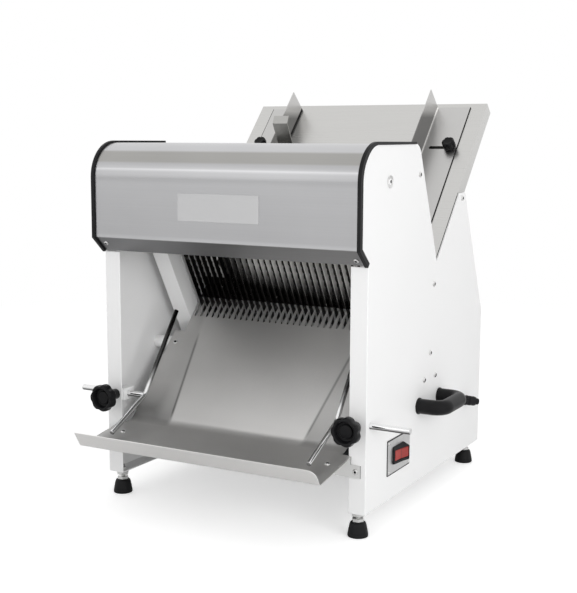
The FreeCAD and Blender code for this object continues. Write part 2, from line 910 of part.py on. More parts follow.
# ---------------------------------------------------------------- crank drive
def crankshaft():
    """Shaft with four throws; the webs of each throw stand on both sides of a rod."""
    parts = []
    web_near = s.rod_wall / 2 + s.face_gap
    web_far = web_near + s.crank_web
    for side in SIDES.values():
        for through, throw_x in FRAMES.values():
            middle = side * throw_x
            pin_y = through * crank_throw
            for web_x in (middle - web_far, middle + web_near):
                parts.append(cylinder("crank_web", "X", web_x, 0, crank_z, s.crank_web_round, s.crank_web))
            pin_length = 2 * web_near
            parts.append(cylinder("crank_pin", "X", middle - web_near, pin_y, crank_z, s.crank_pin, pin_length))
        near_far = (
            (s.throw_near_x + web_far, s.throw_far_x - web_far),
            (s.throw_far_x + web_far, panel_inner - s.face_gap),
        )
        for near, far in near_far:
            start, end = span(side, near, far)
            parts.append(cylinder("crank_journal", "X", start, 0, crank_z, s.crank_shaft, end - start))
    middle_half = s.throw_near_x - web_far
    parts.append(cylinder("crank_middle", "X", -middle_half, 0, crank_z, s.crank_shaft, 2 * middle_half))
    keep(fuse("crankshaft", parts), "crankshaft", BLADES)


def crank_bearings():
    """Flanged bearing housings on the inside of the panels."""
    housings = []
    for side in SIDES.values():
        start, end = span(side, panel_inner - s.bearing_wall, panel_inner)
        block = cylinder("bearing_block", "X", start, 0, crank_z, s.bearing_round, s.bearing_wall)
        bore = cylinder("bearing_bore", "X", start, 0, crank_z, s.crank_shaft + s.running_fit, s.bearing_wall)
        housing = doc.addObject("Part::Cut", "bearing_housing")
        housing.Base = block
        housing.Tool = bore
        housings.append(housing)
    group("crank_bearings", housings, BLADES)


def pulley(label, radius, bore, frame, y, z):
    """Grooved pulley for the flat of the belt, between two rims."""
    body = new_body(label, frame)
    rim = s.belt_wall
    half = s.pulley_wall / 2
    belt_half = s.belt_width / 2 + s.slide_gap
    add(body, "YZ", -pulley_x - half, -pulley_x - belt_half, Circle(y, z, radius + rim))
    add(body, "YZ", -pulley_x - belt_half, -pulley_x + belt_half, Circle(y, z, radius))
    add(body, "YZ", -pulley_x + belt_half, -pulley_x + half, Circle(y, z, radius + rim))
    cut(body, "YZ", -pulley_x - half, -pulley_x + half, Circle(y, z, bore))


# the crank's axis as it lies above the floor
crank_floor_y = comb_y - crank_z * sine(s.blade_lean)
crank_floor_z = s.comb_z + crank_z * cosine(s.blade_lean)


def motor():
    body = new_body("motor_body")
    add(body, "YZ", -s.motor_left, s.motor_right, Circle(motor_y, s.motor_z, s.motor_round))
    bore = s.motor_shaft_round + s.running_fit
    cut(body, "YZ", -s.motor_left, -s.motor_left + s.motor_round, Circle(motor_y, s.motor_z, bore))
    shaft_start = -pulley_x - s.pulley_wall / 2
    shaft_end = -s.motor_left + s.motor_round - s.face_gap
    shaft = new_body("motor_shaft")
    add(shaft, "YZ", shaft_start, shaft_end, Circle(motor_y, s.motor_z, s.motor_shaft_round))
    cradle = new_body("motor_cradle")
    half = s.motor_round * 0.8
    for start in (-s.motor_left + s.cradle_wall, s.motor_right - 2 * s.cradle_wall):
        feet = box_outline(motor_y - half, base_top, motor_y + half, s.motor_z - s.motor_round / 3)
        add(cradle, "YZ", start, start + s.cradle_wall, feet)
    cut(cradle, "YZ", -s.motor_left, s.motor_right, Circle(motor_y, s.motor_z, s.motor_round))



def draw_belt_loop(sketch, grow):
    """One run of the belt: an arc round each pulley, joined by two tangent lines."""
    places = (
        (crank_floor_y, crank_floor_z, s.crank_pulley_round + grow),
        (motor_y, s.motor_z, s.motor_pulley_round + grow),
    )
    big = point(crank_floor_y.number, crank_floor_z.number)
    small = point(motor_y.number, s.motor_z.number)
    big_round = places[0][2].number
    small_round = places[1][2].number
    gap = small - big
    turn = math.atan2(gap.y, gap.x)
    lift = math.acos((big_round - small_round) / gap.Length)
    up = point(math.cos(turn + lift), math.sin(turn + lift))
    low = point(math.cos(turn - lift), math.sin(turn - lift))
    along = point(math.cos(turn), math.sin(turn))
    arcs = [
        Part.Arc(big + up * big_round, big - along * big_round, big + low * big_round),
        Part.Arc(small + low * small_round, small + along * small_round, small + up * small_round),
    ]
    lines = [
        Part.LineSegment(big + low * big_round, small + low * small_round),
        Part.LineSegment(small + up * small_round, big + up * big_round),
    ]
    arc_ids = [sketch.addGeometry(arc, False) for arc in arcs]
    line_ids = [sketch.addGeometry(line, False) for line in lines]
    for index in range(2):
        arc = arc_ids[index]
        leaving = sketch.Geometry[line_ids[index]].StartPoint
        points = (1, 2) if sketch.Geometry[arc].StartPoint.isEqual(leaving, 1e-6) else (2, 1)
        sketch.addConstraint(Sketcher.Constraint("Tangent", line_ids[index], 1, arc, points[0]))
        sketch.addConstraint(Sketcher.Constraint("Tangent", line_ids[index - 1], 2, arc, points[1]))
        y, z, radius = places[index]
        pin_point(sketch, arc, 3, y, z)
        rounding = sketch.addConstraint(Sketcher.Constraint("Radius", arc, radius.number))
        bind(sketch, f"Constraints[{rounding}]", radius)


def belt():
    """Flat belt round both pulleys, with a small gap under it."""
    body = new_body("drive_belt")
    half = s.belt_width / 2
    loop = new_sketch(body, "YZ", -pulley_x - half, [])
    draw_belt_loop(loop, s.slide_gap + s.belt_wall * 0.6)
    band = body.newObject("PartDesign::Pad", "drive_belt_pad")
    band.Profile = loop
    bind(band, "Length", s.belt_width)
    inside = new_sketch(body, "YZ", -pulley_x + half, [])
    draw_belt_loop(inside, s.slide_gap)
    hole = body.newObject("PartDesign::Pocket", "drive_belt_pocket")
    hole.Profile = inside
    bind(hole, "Length", s.belt_width)


crankshaft()
crank_bearings()
pulley("crank_pulley", s.crank_pulley_round, s.crank_shaft, BLADES, 0, crank_z)
pulley("motor_pulley", s.motor_pulley_round, s.motor_shaft_round, FLOOR, motor_y, s.motor_z)
motor()
belt()


# ---------------------------------------------------------------- feed chute
def feed_chute():
    body = new_body("feed_chute", CHUTE)
    neck = guide_inner_x - s.frame_blade_gap
    outline = [
        (-neck, s.chute_blade_gap),
        (neck, s.chute_blade_gap),
        (neck, s.chute_shoulder),
        (chute_half_width, s.chute_shoulder),
        (chute_half_width, s.chute_length),
        (-chute_half_width, s.chute_length),
        (-chute_half_width, s.chute_shoulder),
        (-neck, s.chute_shoulder),
    ]
    add(body, "XY", -s.chute_wall, 0, outline)
    for side in SIDES.values():
        side_flange = span(side, chute_half_width - s.chute_wall, chute_half_width)
        sheet = box_outline(s.chute_shoulder, -s.chute_flange, s.chute_length, -s.chute_wall)
        add(body, "YZ", *side_flange, sheet)
    top_flange = box_outline(-chute_half_width, -s.chute_flange, chute_half_width, -s.chute_wall)
    add(body, "XZ", s.chute_length - s.chute_wall, s.chute_length, top_flange)
    holes = [Circle(side * loaf_stud_x, s.loaf_slot_along, s.stud_round) for side in SIDES.values()]
    cut(body, "XY", -s.chute_wall, 0, *holes)


def loaf_studs():
    """Threaded studs on the chute, on which the loaf guides' knobs turn."""
    body = new_body("loaf_guide_studs", CHUTE)
    top = s.loaf_knob_seat + s.loaf_knob_height / 2
    studs = []
    nuts = []
    for side in SIDES.values():
        studs.append(Circle(side * loaf_stud_x, s.loaf_slot_along, s.stud_round))
        nuts.append(Circle(side * loaf_stud_x, s.loaf_slot_along, s.stud_round * 2))
    add(body, "XY", -s.chute_wall, top, *studs)
    add(body, "XY", -s.chute_wall - s.stud_round, -s.chute_wall, *nuts)


def loaf_guide(name, side):
    """Upright fence with a wide foot that slides across the chute."""
    body = new_body(f"loaf_guide_{name}", CHUTE)
    under = s.slide_gap
    foot_top = under + s.loaf_guide_wall
    inner = side * (loaf_guide_x - s.loaf_guide_wall / 2)
    fence = span(side, loaf_guide_x - s.loaf_guide_wall / 2, loaf_guide_x + s.loaf_guide_wall / 2)
    add(body, "YZ", *fence, box_outline(s.loaf_guide_low, under, s.loaf_guide_high, s.loaf_guide_height))
    outer = side * (loaf_guide_x + s.loaf_guide_foot)
    add(body, "XY", under, foot_top, box_outline(inner, s.loaf_guide_low, outer, s.loaf_guide_high))
    slot_half = s.loaf_slot_width / 2
    slot_inner = side * (loaf_guide_x + s.loaf_slot_inner + slot_half)
    slot_outer = side * (loaf_guide_x + s.loaf_slot_outer - slot_half)
    middle = s.loaf_slot_along
    cut(body, "XY", under, foot_top, box_outline(slot_inner, middle - slot_half, slot_outer, middle + slot_half))
    cut(body, "XY", under, foot_top, Circle(slot_inner, middle, slot_half), Circle(slot_outer, middle, slot_half))


def star_knob(body, plane, x, y, face, back, radius, lobe_round, lobes):
    """Round knob with lobes about its rim, on a body that already has its frame."""
    core = radius - lobe_round
    add(body, plane, face, back, Circle(x, y, core))
    for index in range(lobes):
        angle = 2 * math.pi * index / lobes
        lobe = Circle(x + core * math.cos(angle), y + core * math.sin(angle), lobe_round)
        add(body, plane, face, back, lobe)


def loaf_knob(name, side):
    body = new_body(f"loaf_knob_{name}", CHUTE)
    x = side * loaf_stud_x
    seat = s.loaf_knob_seat
    low = s.slide_gap * 2 + s.loaf_guide_wall
    add(body, "XY", low, seat, Circle(x, s.loaf_slot_along, s.stud_round * 2.4))
    star_knob(
        body, "XY", x, s.loaf_slot_along, seat, seat + s.loaf_knob_height,
        s.loaf_knob_round, s.loaf_knob_round * 0.3, 6,
    )
    bore_top = seat + s.loaf_knob_height / 2 + s.face_gap
    cut(body, "XY", low, bore_top, Circle(x, s.loaf_slot_along, s.stud_round + s.running_fit))


def pusher():
    """Sheet that slides down the chute behind the loaf, with a bent grip at its left."""
    plate = new_body("pusher_plate", CHUTE)
    under = s.slide_gap
    half = pusher_half_width
    floor_outline = box_outline(-half, s.pusher_low, half, s.pusher_high)
    add(plate, "XY", under, under + s.pusher_wall, floor_outline)
    face = box_outline(-half, under, half, s.pusher_face)
    add(plate, "XZ", s.pusher_low, s.pusher_low + s.pusher_wall, face)
    grip = new_body("pusher_grip", CHUTE)
    low = under + s.pusher_wall
    left = s.handle_side_gap - pusher_half_width
    outline = [
        (s.handle_low + s.handle_foot, low),
        (s.handle_low, low),
        (s.handle_low, s.handle_rise),
        (s.handle_low + s.handle_lean, s.handle_fold),
        (s.handle_high, s.handle_top),
    ]
    right = left + s.handle_width
    solid = add(grip, "YZ", left, right, outline)
    foot_end = outline[0]
    top_end = outline[-1]
    across = (left.number + right.number) / 2
    middle = FreeCAD.Vector(
        across, (foot_end[0].number + top_end[0].number) / 2, (foot_end[1].number + top_end[1].number) / 2
    )

    def is_open(face):
        centre = face.CenterOfMass
        at_end = abs(centre.x - across) > s.pusher_wall.number
        return at_end or centre.distanceToPoint(middle) < 0.01

    hollow(grip, solid, s.pusher_wall, is_open)


feed_chute()
loaf_studs()
for name, side in SIDES.items():
    loaf_guide(name, side)
    loaf_knob(name, side)
pusher()


# ---------------------------------------------------------------- receiving tray
def tray_height(y):
    """Height of the tray's upper surface on its steep part."""
    return tray_cross_z + (y - tray_cross_y) * tangent(s.tray_slope)


def shelf_height(y):
    """Height of the shelf's upper surface."""
    return s.lip_fold_z + (y - s.lip_fold_y) * tangent(s.shelf_slope)


bend_y = (
    (s.lip_fold_z - tray_cross_z - s.lip_fold_y * tangent(s.shelf_slope) + tray_cross_y * tangent(s.tray_slope))
    / (tangent(s.tray_slope) - tangent(s.shelf_slope))
)
comb_top_y = tray_cross_y + s.comb_slot * cosine(s.tray_slope)


def receiving_tray():
    """One bent sheet: comb, steep part, bend, shelf and lip."""
    body = new_body("receiving_tray")
    outline = [
        (s.lip_fold_y - s.lip_lean, s.lip_fold_z + s.lip_rise),
        (s.lip_fold_y, s.lip_fold_z),
        (bend_y, shelf_height(bend_y), s.tray_bend),
        (comb_top_y, tray_height(comb_top_y)),
    ]
    solid = add(body, "YZ", -shelf_half_width, shelf_half_width, outline)
    first = outline[0]
    last = outline[3]
    middle = FreeCAD.Vector(0, (first[0].number + last[0].number) / 2, (first[1].number + last[1].number) / 2)

    def is_open(face):
        centre = face.CenterOfMass
        at_end = abs(abs(centre.x) - shelf_half_width.number) < 0.01
        return at_end or centre.distanceToPoint(middle) < 0.01

    shell = hollow(body, solid, s.tray_wall, is_open)
    shell.Reversed = False
    narrow = []
    for side in SIDES.values():
        narrow.append(box_outline(
            side * tray_half_width, -s.panel_wall,
            side * (shelf_half_width + s.panel_wall), comb_top_y + s.comb_notch,
        ))
    tall = s.tower_top
    cut(body, "XY", 0, tall, *narrow)
    notch_y = comb_top_y - s.comb_notch * cosine(s.tray_slope)
    neck = guide_inner_x - s.frame_blade_gap
    notches = []
    for side in SIDES.values():
        notches.append(box_outline(
            side * neck, notch_y, side * (shelf_half_width + s.panel_wall), comb_top_y + s.comb_notch,
        ))
    cut(body, "XY", 0, tall, *notches)
    start = -half_count * s.blade_pitch
    slot_half = s.comb_slot_width / 2
    slot = cut(
        body, "XY", 0, tall,
        box_outline(start - slot_half, tray_cross_y, start + slot_half, comb_top_y + s.comb_notch),
    )
    repeat(body, slot, 2 * half_count + 1, s.blade_pitch)


def tray_brackets():
    """Bent brackets on the front flanges, under the shelf."""
    body = new_body("tray_brackets")
    under_front = shelf_height(-s.bracket_reach) - s.tray_wall / cosine(s.shelf_slope)
    under_rear = shelf_height(as_size(0)) - s.tray_wall / cosine(s.shelf_slope)
    leg = [
        (0, s.bracket_low),
        (0, under_rear),
        (-s.bracket_reach, under_front),
        (-s.bracket_reach, under_front - s.bracket_wall),
        (-s.bracket_wall, under_rear - s.bracket_wall * 1.2),
        (-s.bracket_wall, s.bracket_low),
    ]
    ear = box_outline(-s.bracket_wall, s.bracket_low, 0, s.bracket_step)
    for side in SIDES.values():
        add(body, "YZ", *span(side, shelf_half_width - s.bracket_lap, shelf_half_width - s.face_gap), leg)
        add(body, "YZ", *span(side, shelf_half_width - s.face_gap, s.half_width - s.bracket_inset), ear)


def tray_bosses():
    """Round bosses on the panels that carry the tray's steep part."""
    parts = []
    offset = s.boss_round + s.tray_wall
    y = boss_y + offset * sine(s.tray_slope)
    z = tray_height(boss_y) - offset * cosine(s.tray_slope)
    for side in SIDES.values():
        start, end = span(side, tray_half_width - s.boss_lap, panel_inner)
        parts.append(cylinder("tray_boss", "X", start, y, z, s.boss_round, end - start))
    group("tray_bosses", parts, FLOOR)


receiving_tray()
tray_brackets()
tray_bosses()


# ---------------------------------------------------------------- front bread guides
GUIDE_X = {"left": tray_half_width - s.left_guide_inset, "right": tray_half_width - s.right_guide_inset}


def bread_guide(name, side):
    """Bent round rod welded to a straight rod that slides through the panel."""
    body = new_body(f"bread_guide_{name}")
    x = side * GUIDE_X[name]
    path = body.newObject("Sketcher::SketchObject", f"{name}_rod_path")
    plane = [item for item in body.Origin.OriginFeatures if item.Role == "YZ_Plane"][0]
    path.AttachmentSupport = [(plane, "")]
    path.MapMode = "FlatFace"
    path.AttachmentOffset = FreeCAD.Placement(FreeCAD.Vector(0, 0, x.number), FreeCAD.Rotation())
    bind(path, "AttachmentOffset.Base.z", x)
    corners = [(s.bent_low_y, s.bent_low_z), (s.guide_rod_y, s.guide_rod_z), (comb_y - s.bent_top_offset, s.comb_z - s.bent_top_drop)]
    draw_open_bend(path, corners, s.bent_round)
    section = body.newObject("Sketcher::SketchObject", f"{name}_rod_section")
    doc.recompute()
    section.AttachmentSupport = [(path, "Edge1")]
    section.MapMode = "NormalToEdge"
    section.MapReversed = False
    draw_circle(section, Circle(0, 0, s.bent_rod_round))
    pipe = body.newObject("PartDesign::AdditivePipe", f"{name}_bent_rod")
    pipe.Profile = section
    pipe.Spine = (path, ["Edge1", "Edge2", "Edge3"])
    start, end = span(side, GUIDE_X[name], guide_rod_end)
    add(body, "YZ", start, end, Circle(s.guide_rod_y, s.guide_rod_z, s.guide_rod_round))


def draw_open_bend(sketch, corners, radius):
    """Two straight runs joined by one arc."""
    numbers = [(y.number, z.number, 0) for y, z in corners]
    numbers[1] = (numbers[1][0], numbers[1][1], radius.number)
    start, centre, stop = corner_ends(numbers, 1)
    first = sketch.addGeometry(Part.LineSegment(point(*numbers[0][:2]), start), False)
    arc, points = add_arc(sketch, start, centre, stop)
    last = sketch.addGeometry(Part.LineSegment(stop, point(*numbers[2][:2])), False)
    sketch.addConstraint(Sketcher.Constraint("Tangent", first, 2, arc, points[0]))
    sketch.addConstraint(Sketcher.Constraint("Tangent", last, 1, arc, points[1]))
    index = sketch.addConstraint(Sketcher.Constraint("Radius", arc, radius.number))
    bind(sketch, f"Constraints[{index}]", radius)
    corner = sketch.addGeometry(Part.Point(point(*numbers[1][:2])), True)
    sketch.addConstraint(Sketcher.Constraint("PointOnObject", corner, 1, first))
    sketch.addConstraint(Sketcher.Constraint("PointOnObject", corner, 1, last))
    pin_point(sketch, corner, 1, *corners[1])
    pin_point(sketch, first, 1, *corners[0])
    pin_point(sketch, last, 2, *corners[2])


def clamp_blocks():
    """Blocks behind the front flanges, which the guide rods slide through."""
    body = new_body("rod_clamp_blocks")
    low = s.guide_rod_z - s.clamp_height / 2
    for side in SIDES.values():
        across = span(side, panel_inner - s.clamp_width, panel_inner)
        add(body, "YZ", *across, box_outline(s.panel_wall, low, s.panel_wall + s.clamp_depth, low + s.clamp_height))
        cut(body, "YZ", *across, Circle(s.guide_rod_y, s.guide_rod_z, s.guide_rod_round + s.slide_gap))
        hole = Circle(side * knob_x, s.guide_rod_z, s.stud_round + s.slide_gap)
        cut(body, "XZ", s.panel_wall, s.guide_rod_y, hole)


def front_knob(name, side):
    """Star knob whose stud presses on the guide rod."""
    body = new_body(f"front_knob_{name}")
    x = side * knob_x
    face = -s.knob_face_y
    back = face + s.knob_wall
    star_knob(body, "XZ", x, s.guide_rod_z, face, back, s.knob_round, s.knob_lobe_round, 7)
    add(body, "XZ", back, -s.slide_gap, Circle(x, s.guide_rod_z, s.knob_hub_round))
    tip = s.guide_rod_y - s.guide_rod_round - s.slide_gap
    add(body, "XZ", -s.slide_gap, tip, Circle(x, s.guide_rod_z, s.stud_round))
    cut(body, "XZ", face, face + s.bracket_wall, Circle(x, s.guide_rod_z, s.knob_round / 2))


for name, side in SIDES.items():
    bread_guide(name, side)
    front_knob(name, side)
clamp_blocks()


# ---------------------------------------------------------------- base, cover, tie
def base_plate():
    body = new_body("base_plate")
    half = panel_inner - s.slide_gap
    add(body, "XY", top_of_flange, base_top, box_outline(-half, comb_y + s.base_offset, half, s.panel_depth - s.base_setback))


def rear_cover():
    """Bent sheet between the panels' rear edges, up to the chute."""
    body = new_body("rear_cover")
    half = panel_inner - s.slide_gap
    lean = s.ear_setback / (ear_z - s.panel_rear_height)
    outer = s.panel_depth - s.panel_wall
    inner = outer - s.rear_cover_wall
    top_z = ear_z - s.rear_cover_top_gap
    rise = top_z - s.panel_rear_height
    outline = [
        (inner, s.rear_cover_low),
        (outer, s.rear_cover_low),
        (outer, s.panel_rear_height),
        (outer - rise * lean, top_z),
        (inner - rise * lean, top_z),
        (inner, s.panel_rear_height),
    ]
    add(body, "YZ", -half, half, outline)


def tower_tie():
    body = new_body("tower_tie")
    add(body, "YZ", -panel_inner, panel_inner, Circle(tie_y, tie_z, s.tie_round))
    for side in SIDES.values():
        end = span(side, panel_inner - s.tie_round * 2, panel_inner)
        cut(body, "YZ", *end, Circle(tie_y, tie_z, s.screw_round + s.running_fit))


base_plate()
rear_cover()
tower_tie()


# ---------------------------------------------------------------- handles, switch, gland
def carry_handle(name, side):
    """U-shaped tube bolted to the panel."""
    body = new_body(f"carry_handle_{name}")
    reach = side * (s.half_width + s.carry_proud - s.carry_round)
    start = side * s.half_width
    path = body.newObject("Sketcher::SketchObject", f"{name}_handle_path")
    plane = [item for item in body.Origin.OriginFeatures if item.Role == "XY_Plane"][0]
    path.AttachmentSupport = [(plane, "")]
    path.MapMode = "FlatFace"
    path.AttachmentOffset = FreeCAD.Placement(FreeCAD.Vector(0, 0, s.carry_z.number), FreeCAD.Rotation())
    bind(path, "AttachmentOffset.Base.z", s.carry_z)
    middle = (carry_front_y + carry_rear_y) / 2
    corners = [
        [(start, carry_front_y), (reach, carry_front_y), (reach, middle)],
        [(reach, middle), (reach, carry_rear_y), (start, carry_rear_y)],
    ]
    for half in corners:
        draw_open_bend(path, half, s.carry_bend)
    section = body.newObject("Sketcher::SketchObject", f"{name}_handle_section")
    plane = [item for item in body.Origin.OriginFeatures if item.Role == "YZ_Plane"][0]
    section.AttachmentSupport = [(plane, "")]
    section.MapMode = "FlatFace"
    section.AttachmentOffset = FreeCAD.Placement(FreeCAD.Vector(0, 0, start.number), FreeCAD.Rotation())
    bind(section, "AttachmentOffset.Base.z", start)
    draw_circle(section, Circle(carry_front_y, s.carry_z, s.carry_round))
    pipe = body.newObject("PartDesign::AdditivePipe", f"{name}_handle_tube")
    pipe.Profile = section
    pipe.Spine = (path, [f"Edge{index}" for index in range(1, 7)])


def switch():
    plate = new_body("switch_plate")
    plate_face = s.half_width + s.switch_plate_wall
    plate_outline = box_outline(s.switch_plate_front, s.switch_plate_low, s.switch_plate_rear, s.switch_plate_high, 2)
    add(plate, "YZ", s.half_width, plate_face, plate_outline)
    housing = new_body("switch_housing")
    top = plate_face + s.switch_stand
    add(housing, "YZ", plate_face, top, box_outline(s.switch_front, s.switch_low, s.switch_rear, s.switch_high))
    eave = s.switch_high - s.switch_roof
    over_roof = [(plate_face, s.switch_high), (top, s.switch_high), (top, eave)]
    cut(housing, "XZ", s.switch_front, s.switch_rear, over_roof)
    rim = s.switch_rim
    well = box_outline(s.switch_front + rim, s.switch_low + rim, s.switch_rear - rim, eave - rim)
    cut(housing, "YZ", plate_face + rim, top, well)
    rocker = new_body("switch_rocker")
    gap = rim + s.slide_gap * 2
    front = s.switch_front + gap
    rear = s.switch_rear - gap
    middle = (front + rear) / 2
    floor_x = plate_face + rim + s.slide_gap * 4
    crown = top + s.rocker_proud
    keel = 2 * s.rocker_proud
    profile = [
        (floor_x, middle - keel), (top - s.rocker_proud, front), (crown, front + s.rocker_proud),
        (top - s.rocker_proud / 3, middle), (crown - s.rocker_proud, rear - s.rocker_proud),
        (top - keel, rear), (floor_x, middle + keel),
    ]
    low = s.switch_low + gap
    high = eave - gap
    add(rocker, "XY", low, high, profile)


def cable_gland():
    body = new_body("cable_gland")
    nut = s.gland_length * 0.4
    add(body, "YZ", s.half_width, s.half_width + nut, Circle(gland_y, s.gland_z, s.gland_round))
    add(body, "YZ", s.half_width + nut, s.half_width + s.gland_length, Circle(gland_y, s.gland_z, s.gland_round * 0.85))
    cut(body, "YZ", s.half_width, s.half_width + s.gland_length, Circle(gland_y, s.gland_z, s.gland_bore))


for name, side in SIDES.items():
    carry_handle(name, side)
switch()
cable_gland()


# ---------------------------------------------------------------- feet and fasteners
def feet():
    pads = []
    studs = []
    for side in SIDES.values():
        for y in (s.foot_front_y, foot_rear_y):
            x = side * foot_x
            pads.append(cone("foot_pad", x, y, 0, s.foot_base_round, s.foot_top_round, s.foot_height))
            stud_length = s.foot_stud_top - s.foot_height
            stud = cylinder("foot_stud", "Z", x, y, s.foot_height, s.foot_stud_round, stud_length)
            nut_low = s.panel_bottom - s.foot_nut_height
            nut = cylinder("foot_nut", "Z", x, y, nut_low, s.foot_nut_round, s.foot_nut_height)
            washer = cylinder("foot_washer", "Z", x, y, s.foot_height, s.foot_nut_round, s.foot_nut_height / 2)
            top_nut = cylinder("foot_top_nut", "Z", x, y, top_of_flange, s.foot_nut_round * 0.8, s.foot_nut_height)
            studs.append(fuse("foot_bolt", [stud, nut, washer, top_nut]))
    group("foot_pads", pads, FLOOR)
    group("foot_bolts", studs, FLOOR)


def screws():
    """Button-head screws through the side panels."""
    body = new_body("panel_screws")
    ring = new_body("ring_screws")
    for side in SIDES.values():
        heads = [Circle(y, z, s.screw_head_round) for y, z in PANEL_SCREWS]
        shanks = [Circle(y, z, s.screw_round) for y, z in PANEL_SCREWS]
        add(body, "YZ", *span(side, s.half_width, s.half_width + s.screw_head), *heads)
        add(body, "YZ", *span(side, panel_inner, s.half_width), *shanks)
        centre = (ring_screw_y, ring_screw_z)
        add(ring, "YZ", *span(side, s.half_width, s.half_width + s.screw_head), Circle(*centre, s.ring_screw_round))
        add(ring, "YZ", *span(side, panel_inner, s.half_width), Circle(*centre, s.screw_round))


def tray_screws():
    """Screws that hold the tray to its bosses and brackets."""
    body = new_body("bracket_screws")
    heads = []
    for side in SIDES.values():
        x = side * (s.half_width - s.bracket_inset - s.screw_head_round * 1.6)
        heads.append(Circle(x, (s.bracket_low + s.bracket_step) / 2, s.screw_head_round))
    add(body, "XZ", -s.bracket_wall - s.screw_head, -s.bracket_wall, *heads)


feet()
screws()
tray_screws()


# ---------------------------------------------------------------- check and write
doc.recompute()
faults = []
for item in doc.Objects:
    if "Invalid" in item.State or "Error" in item.State:
        faults.append(f"{item.Label}: {item.State}")
for label, item in NODES.items():
    if item.Shape.isNull() or not item.Shape.isValid() or not item.Shape.Solids:
        faults.append(f"{label}: no valid solid")
if faults:
    raise RuntimeError("; ".join(faults))

os.makedirs("parts", exist_ok=True)
for label, item in NODES.items():
    item.Shape.exportStep(f"parts/{label}.step")
    print(f"{label}: {len(item.Shape.Solids)} solids, {item.Shape.Volume / 1000:.1f} cm3")
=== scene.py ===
# %% [markdown]
# # A bench bread slicer
#
# This lesson dresses a bench bread slicer. The imported CAD model gives the frame: every
# sheet, shaft and knob already has its size and its place. Blender adds what a CAD solid
# lacks, such as scalloped blade edges, rounded folds, moulded knobs and brushed steel.
#
# The first cell loads that frame and gives a way to read a part's box.

from math import cos, pi, radians, sin, sqrt, tan

import bmesh
import bpy
from mathutils import Matrix, Vector


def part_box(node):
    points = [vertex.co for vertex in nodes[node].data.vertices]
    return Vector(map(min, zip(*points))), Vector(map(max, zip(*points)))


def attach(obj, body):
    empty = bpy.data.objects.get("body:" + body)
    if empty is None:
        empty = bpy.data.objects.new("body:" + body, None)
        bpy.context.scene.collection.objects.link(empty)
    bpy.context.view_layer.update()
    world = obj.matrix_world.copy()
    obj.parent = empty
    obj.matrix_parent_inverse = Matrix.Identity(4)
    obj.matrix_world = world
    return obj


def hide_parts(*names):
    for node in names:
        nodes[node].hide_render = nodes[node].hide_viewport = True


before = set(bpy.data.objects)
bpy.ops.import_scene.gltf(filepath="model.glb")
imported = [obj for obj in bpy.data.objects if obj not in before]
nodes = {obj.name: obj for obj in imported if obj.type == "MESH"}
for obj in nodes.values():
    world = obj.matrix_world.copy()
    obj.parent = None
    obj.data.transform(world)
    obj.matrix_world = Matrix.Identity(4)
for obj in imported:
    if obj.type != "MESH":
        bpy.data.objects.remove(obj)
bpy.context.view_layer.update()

# %% [markdown]
# ## Places
#
# A maker measures a slicer from a few datum faces: the front of the side panels, the plane
# of the blades and the bed of the feed chute. Each one gets a small function that turns its
# own millimetres into metres of the frame, so that the numbers further down stay readable.

# %% Datum faces
PANEL_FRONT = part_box("rod_clamp_blocks")[0].y * 1000 - 2.0
HALF_WIDTH = 246.4
SIDES = {"left": -1, "right": 1}
BLADE_FOOT = (196, 322)
BLADE_SLOPE = 30
CHUTE_FOOT = (197, 320)
CHUTE_SLOPE = 47.5
CHIN_SLOPE = 42
CHIN_FOLD = (-31, 452)
SHELF_SLOPE = 10
STUD_TRACK = 380
SWITCH_MIDDLE = (122, 109)
SWITCH_PLATE_FACE = 1.2
CREASE_START = 126.0
CREASE_SPREAD = 0.195


def floor_place(x, y, z):
    """Millimetres from the middle, from the panels' front and from the bench."""
    return Vector((x, y + PANEL_FRONT, z)) / 1000


def tilted(origin_y, origin_z, slope):
    """A datum plane turned about X, as a function of its own millimetres."""
    turn = Matrix.Rotation(radians(slope), 3, "X")

    def place(x, y, z):
        return floor_place(0, origin_y, origin_z) + turn @ Vector((x, y, z)) / 1000

    return place


def tipped(angle):
    """A way in the side plane: 0 looks to the front, 90 up and -90 down."""
    return Vector((0, -cos(radians(angle)), sin(radians(angle))))


def beside(side, y, z, lift=0.0):
    """Places around a point on a panel's outer face, with their height outwards."""
    return lambda a, b, h: floor_place(side * (HALF_WIDTH + lift + h), y + a, z + b)


def crease_reach(y):
    """How far from the middle the crease of a tray's wing lies; it runs outwards to the comb."""
    return y * CREASE_SPREAD + CREASE_START


blade_place = tilted(*BLADE_FOOT, BLADE_SLOPE)
chute_place = tilted(*CHUTE_FOOT, CHUTE_SLOPE)
print(f"the panels' front stands at Y = {PANEL_FRONT:.1f} mm")

# %% [markdown]
# ## Camera, light and floor
#
# The camera stands to the right of the tray and a little above it. Soft lamps and a white
# world light the machine the way a product is lit: evenly, with one brighter side, so that
# the steel shows long gradients and the white paint keeps its form.

# %% Camera
def new_object(name, data):
    thing = bpy.data.objects.new(name, data)
    bpy.context.scene.collection.objects.link(thing)
    return thing


def look(azimuth, elevation, roll):
    """The camera's turn: azimuth 0 looks along +Y."""
    flat = Matrix.Rotation(radians(azimuth), 4, "Z")
    down = Matrix.Rotation(radians(90 - elevation), 4, "X")
    return flat @ down @ Matrix.Rotation(radians(roll), 4, "Z")


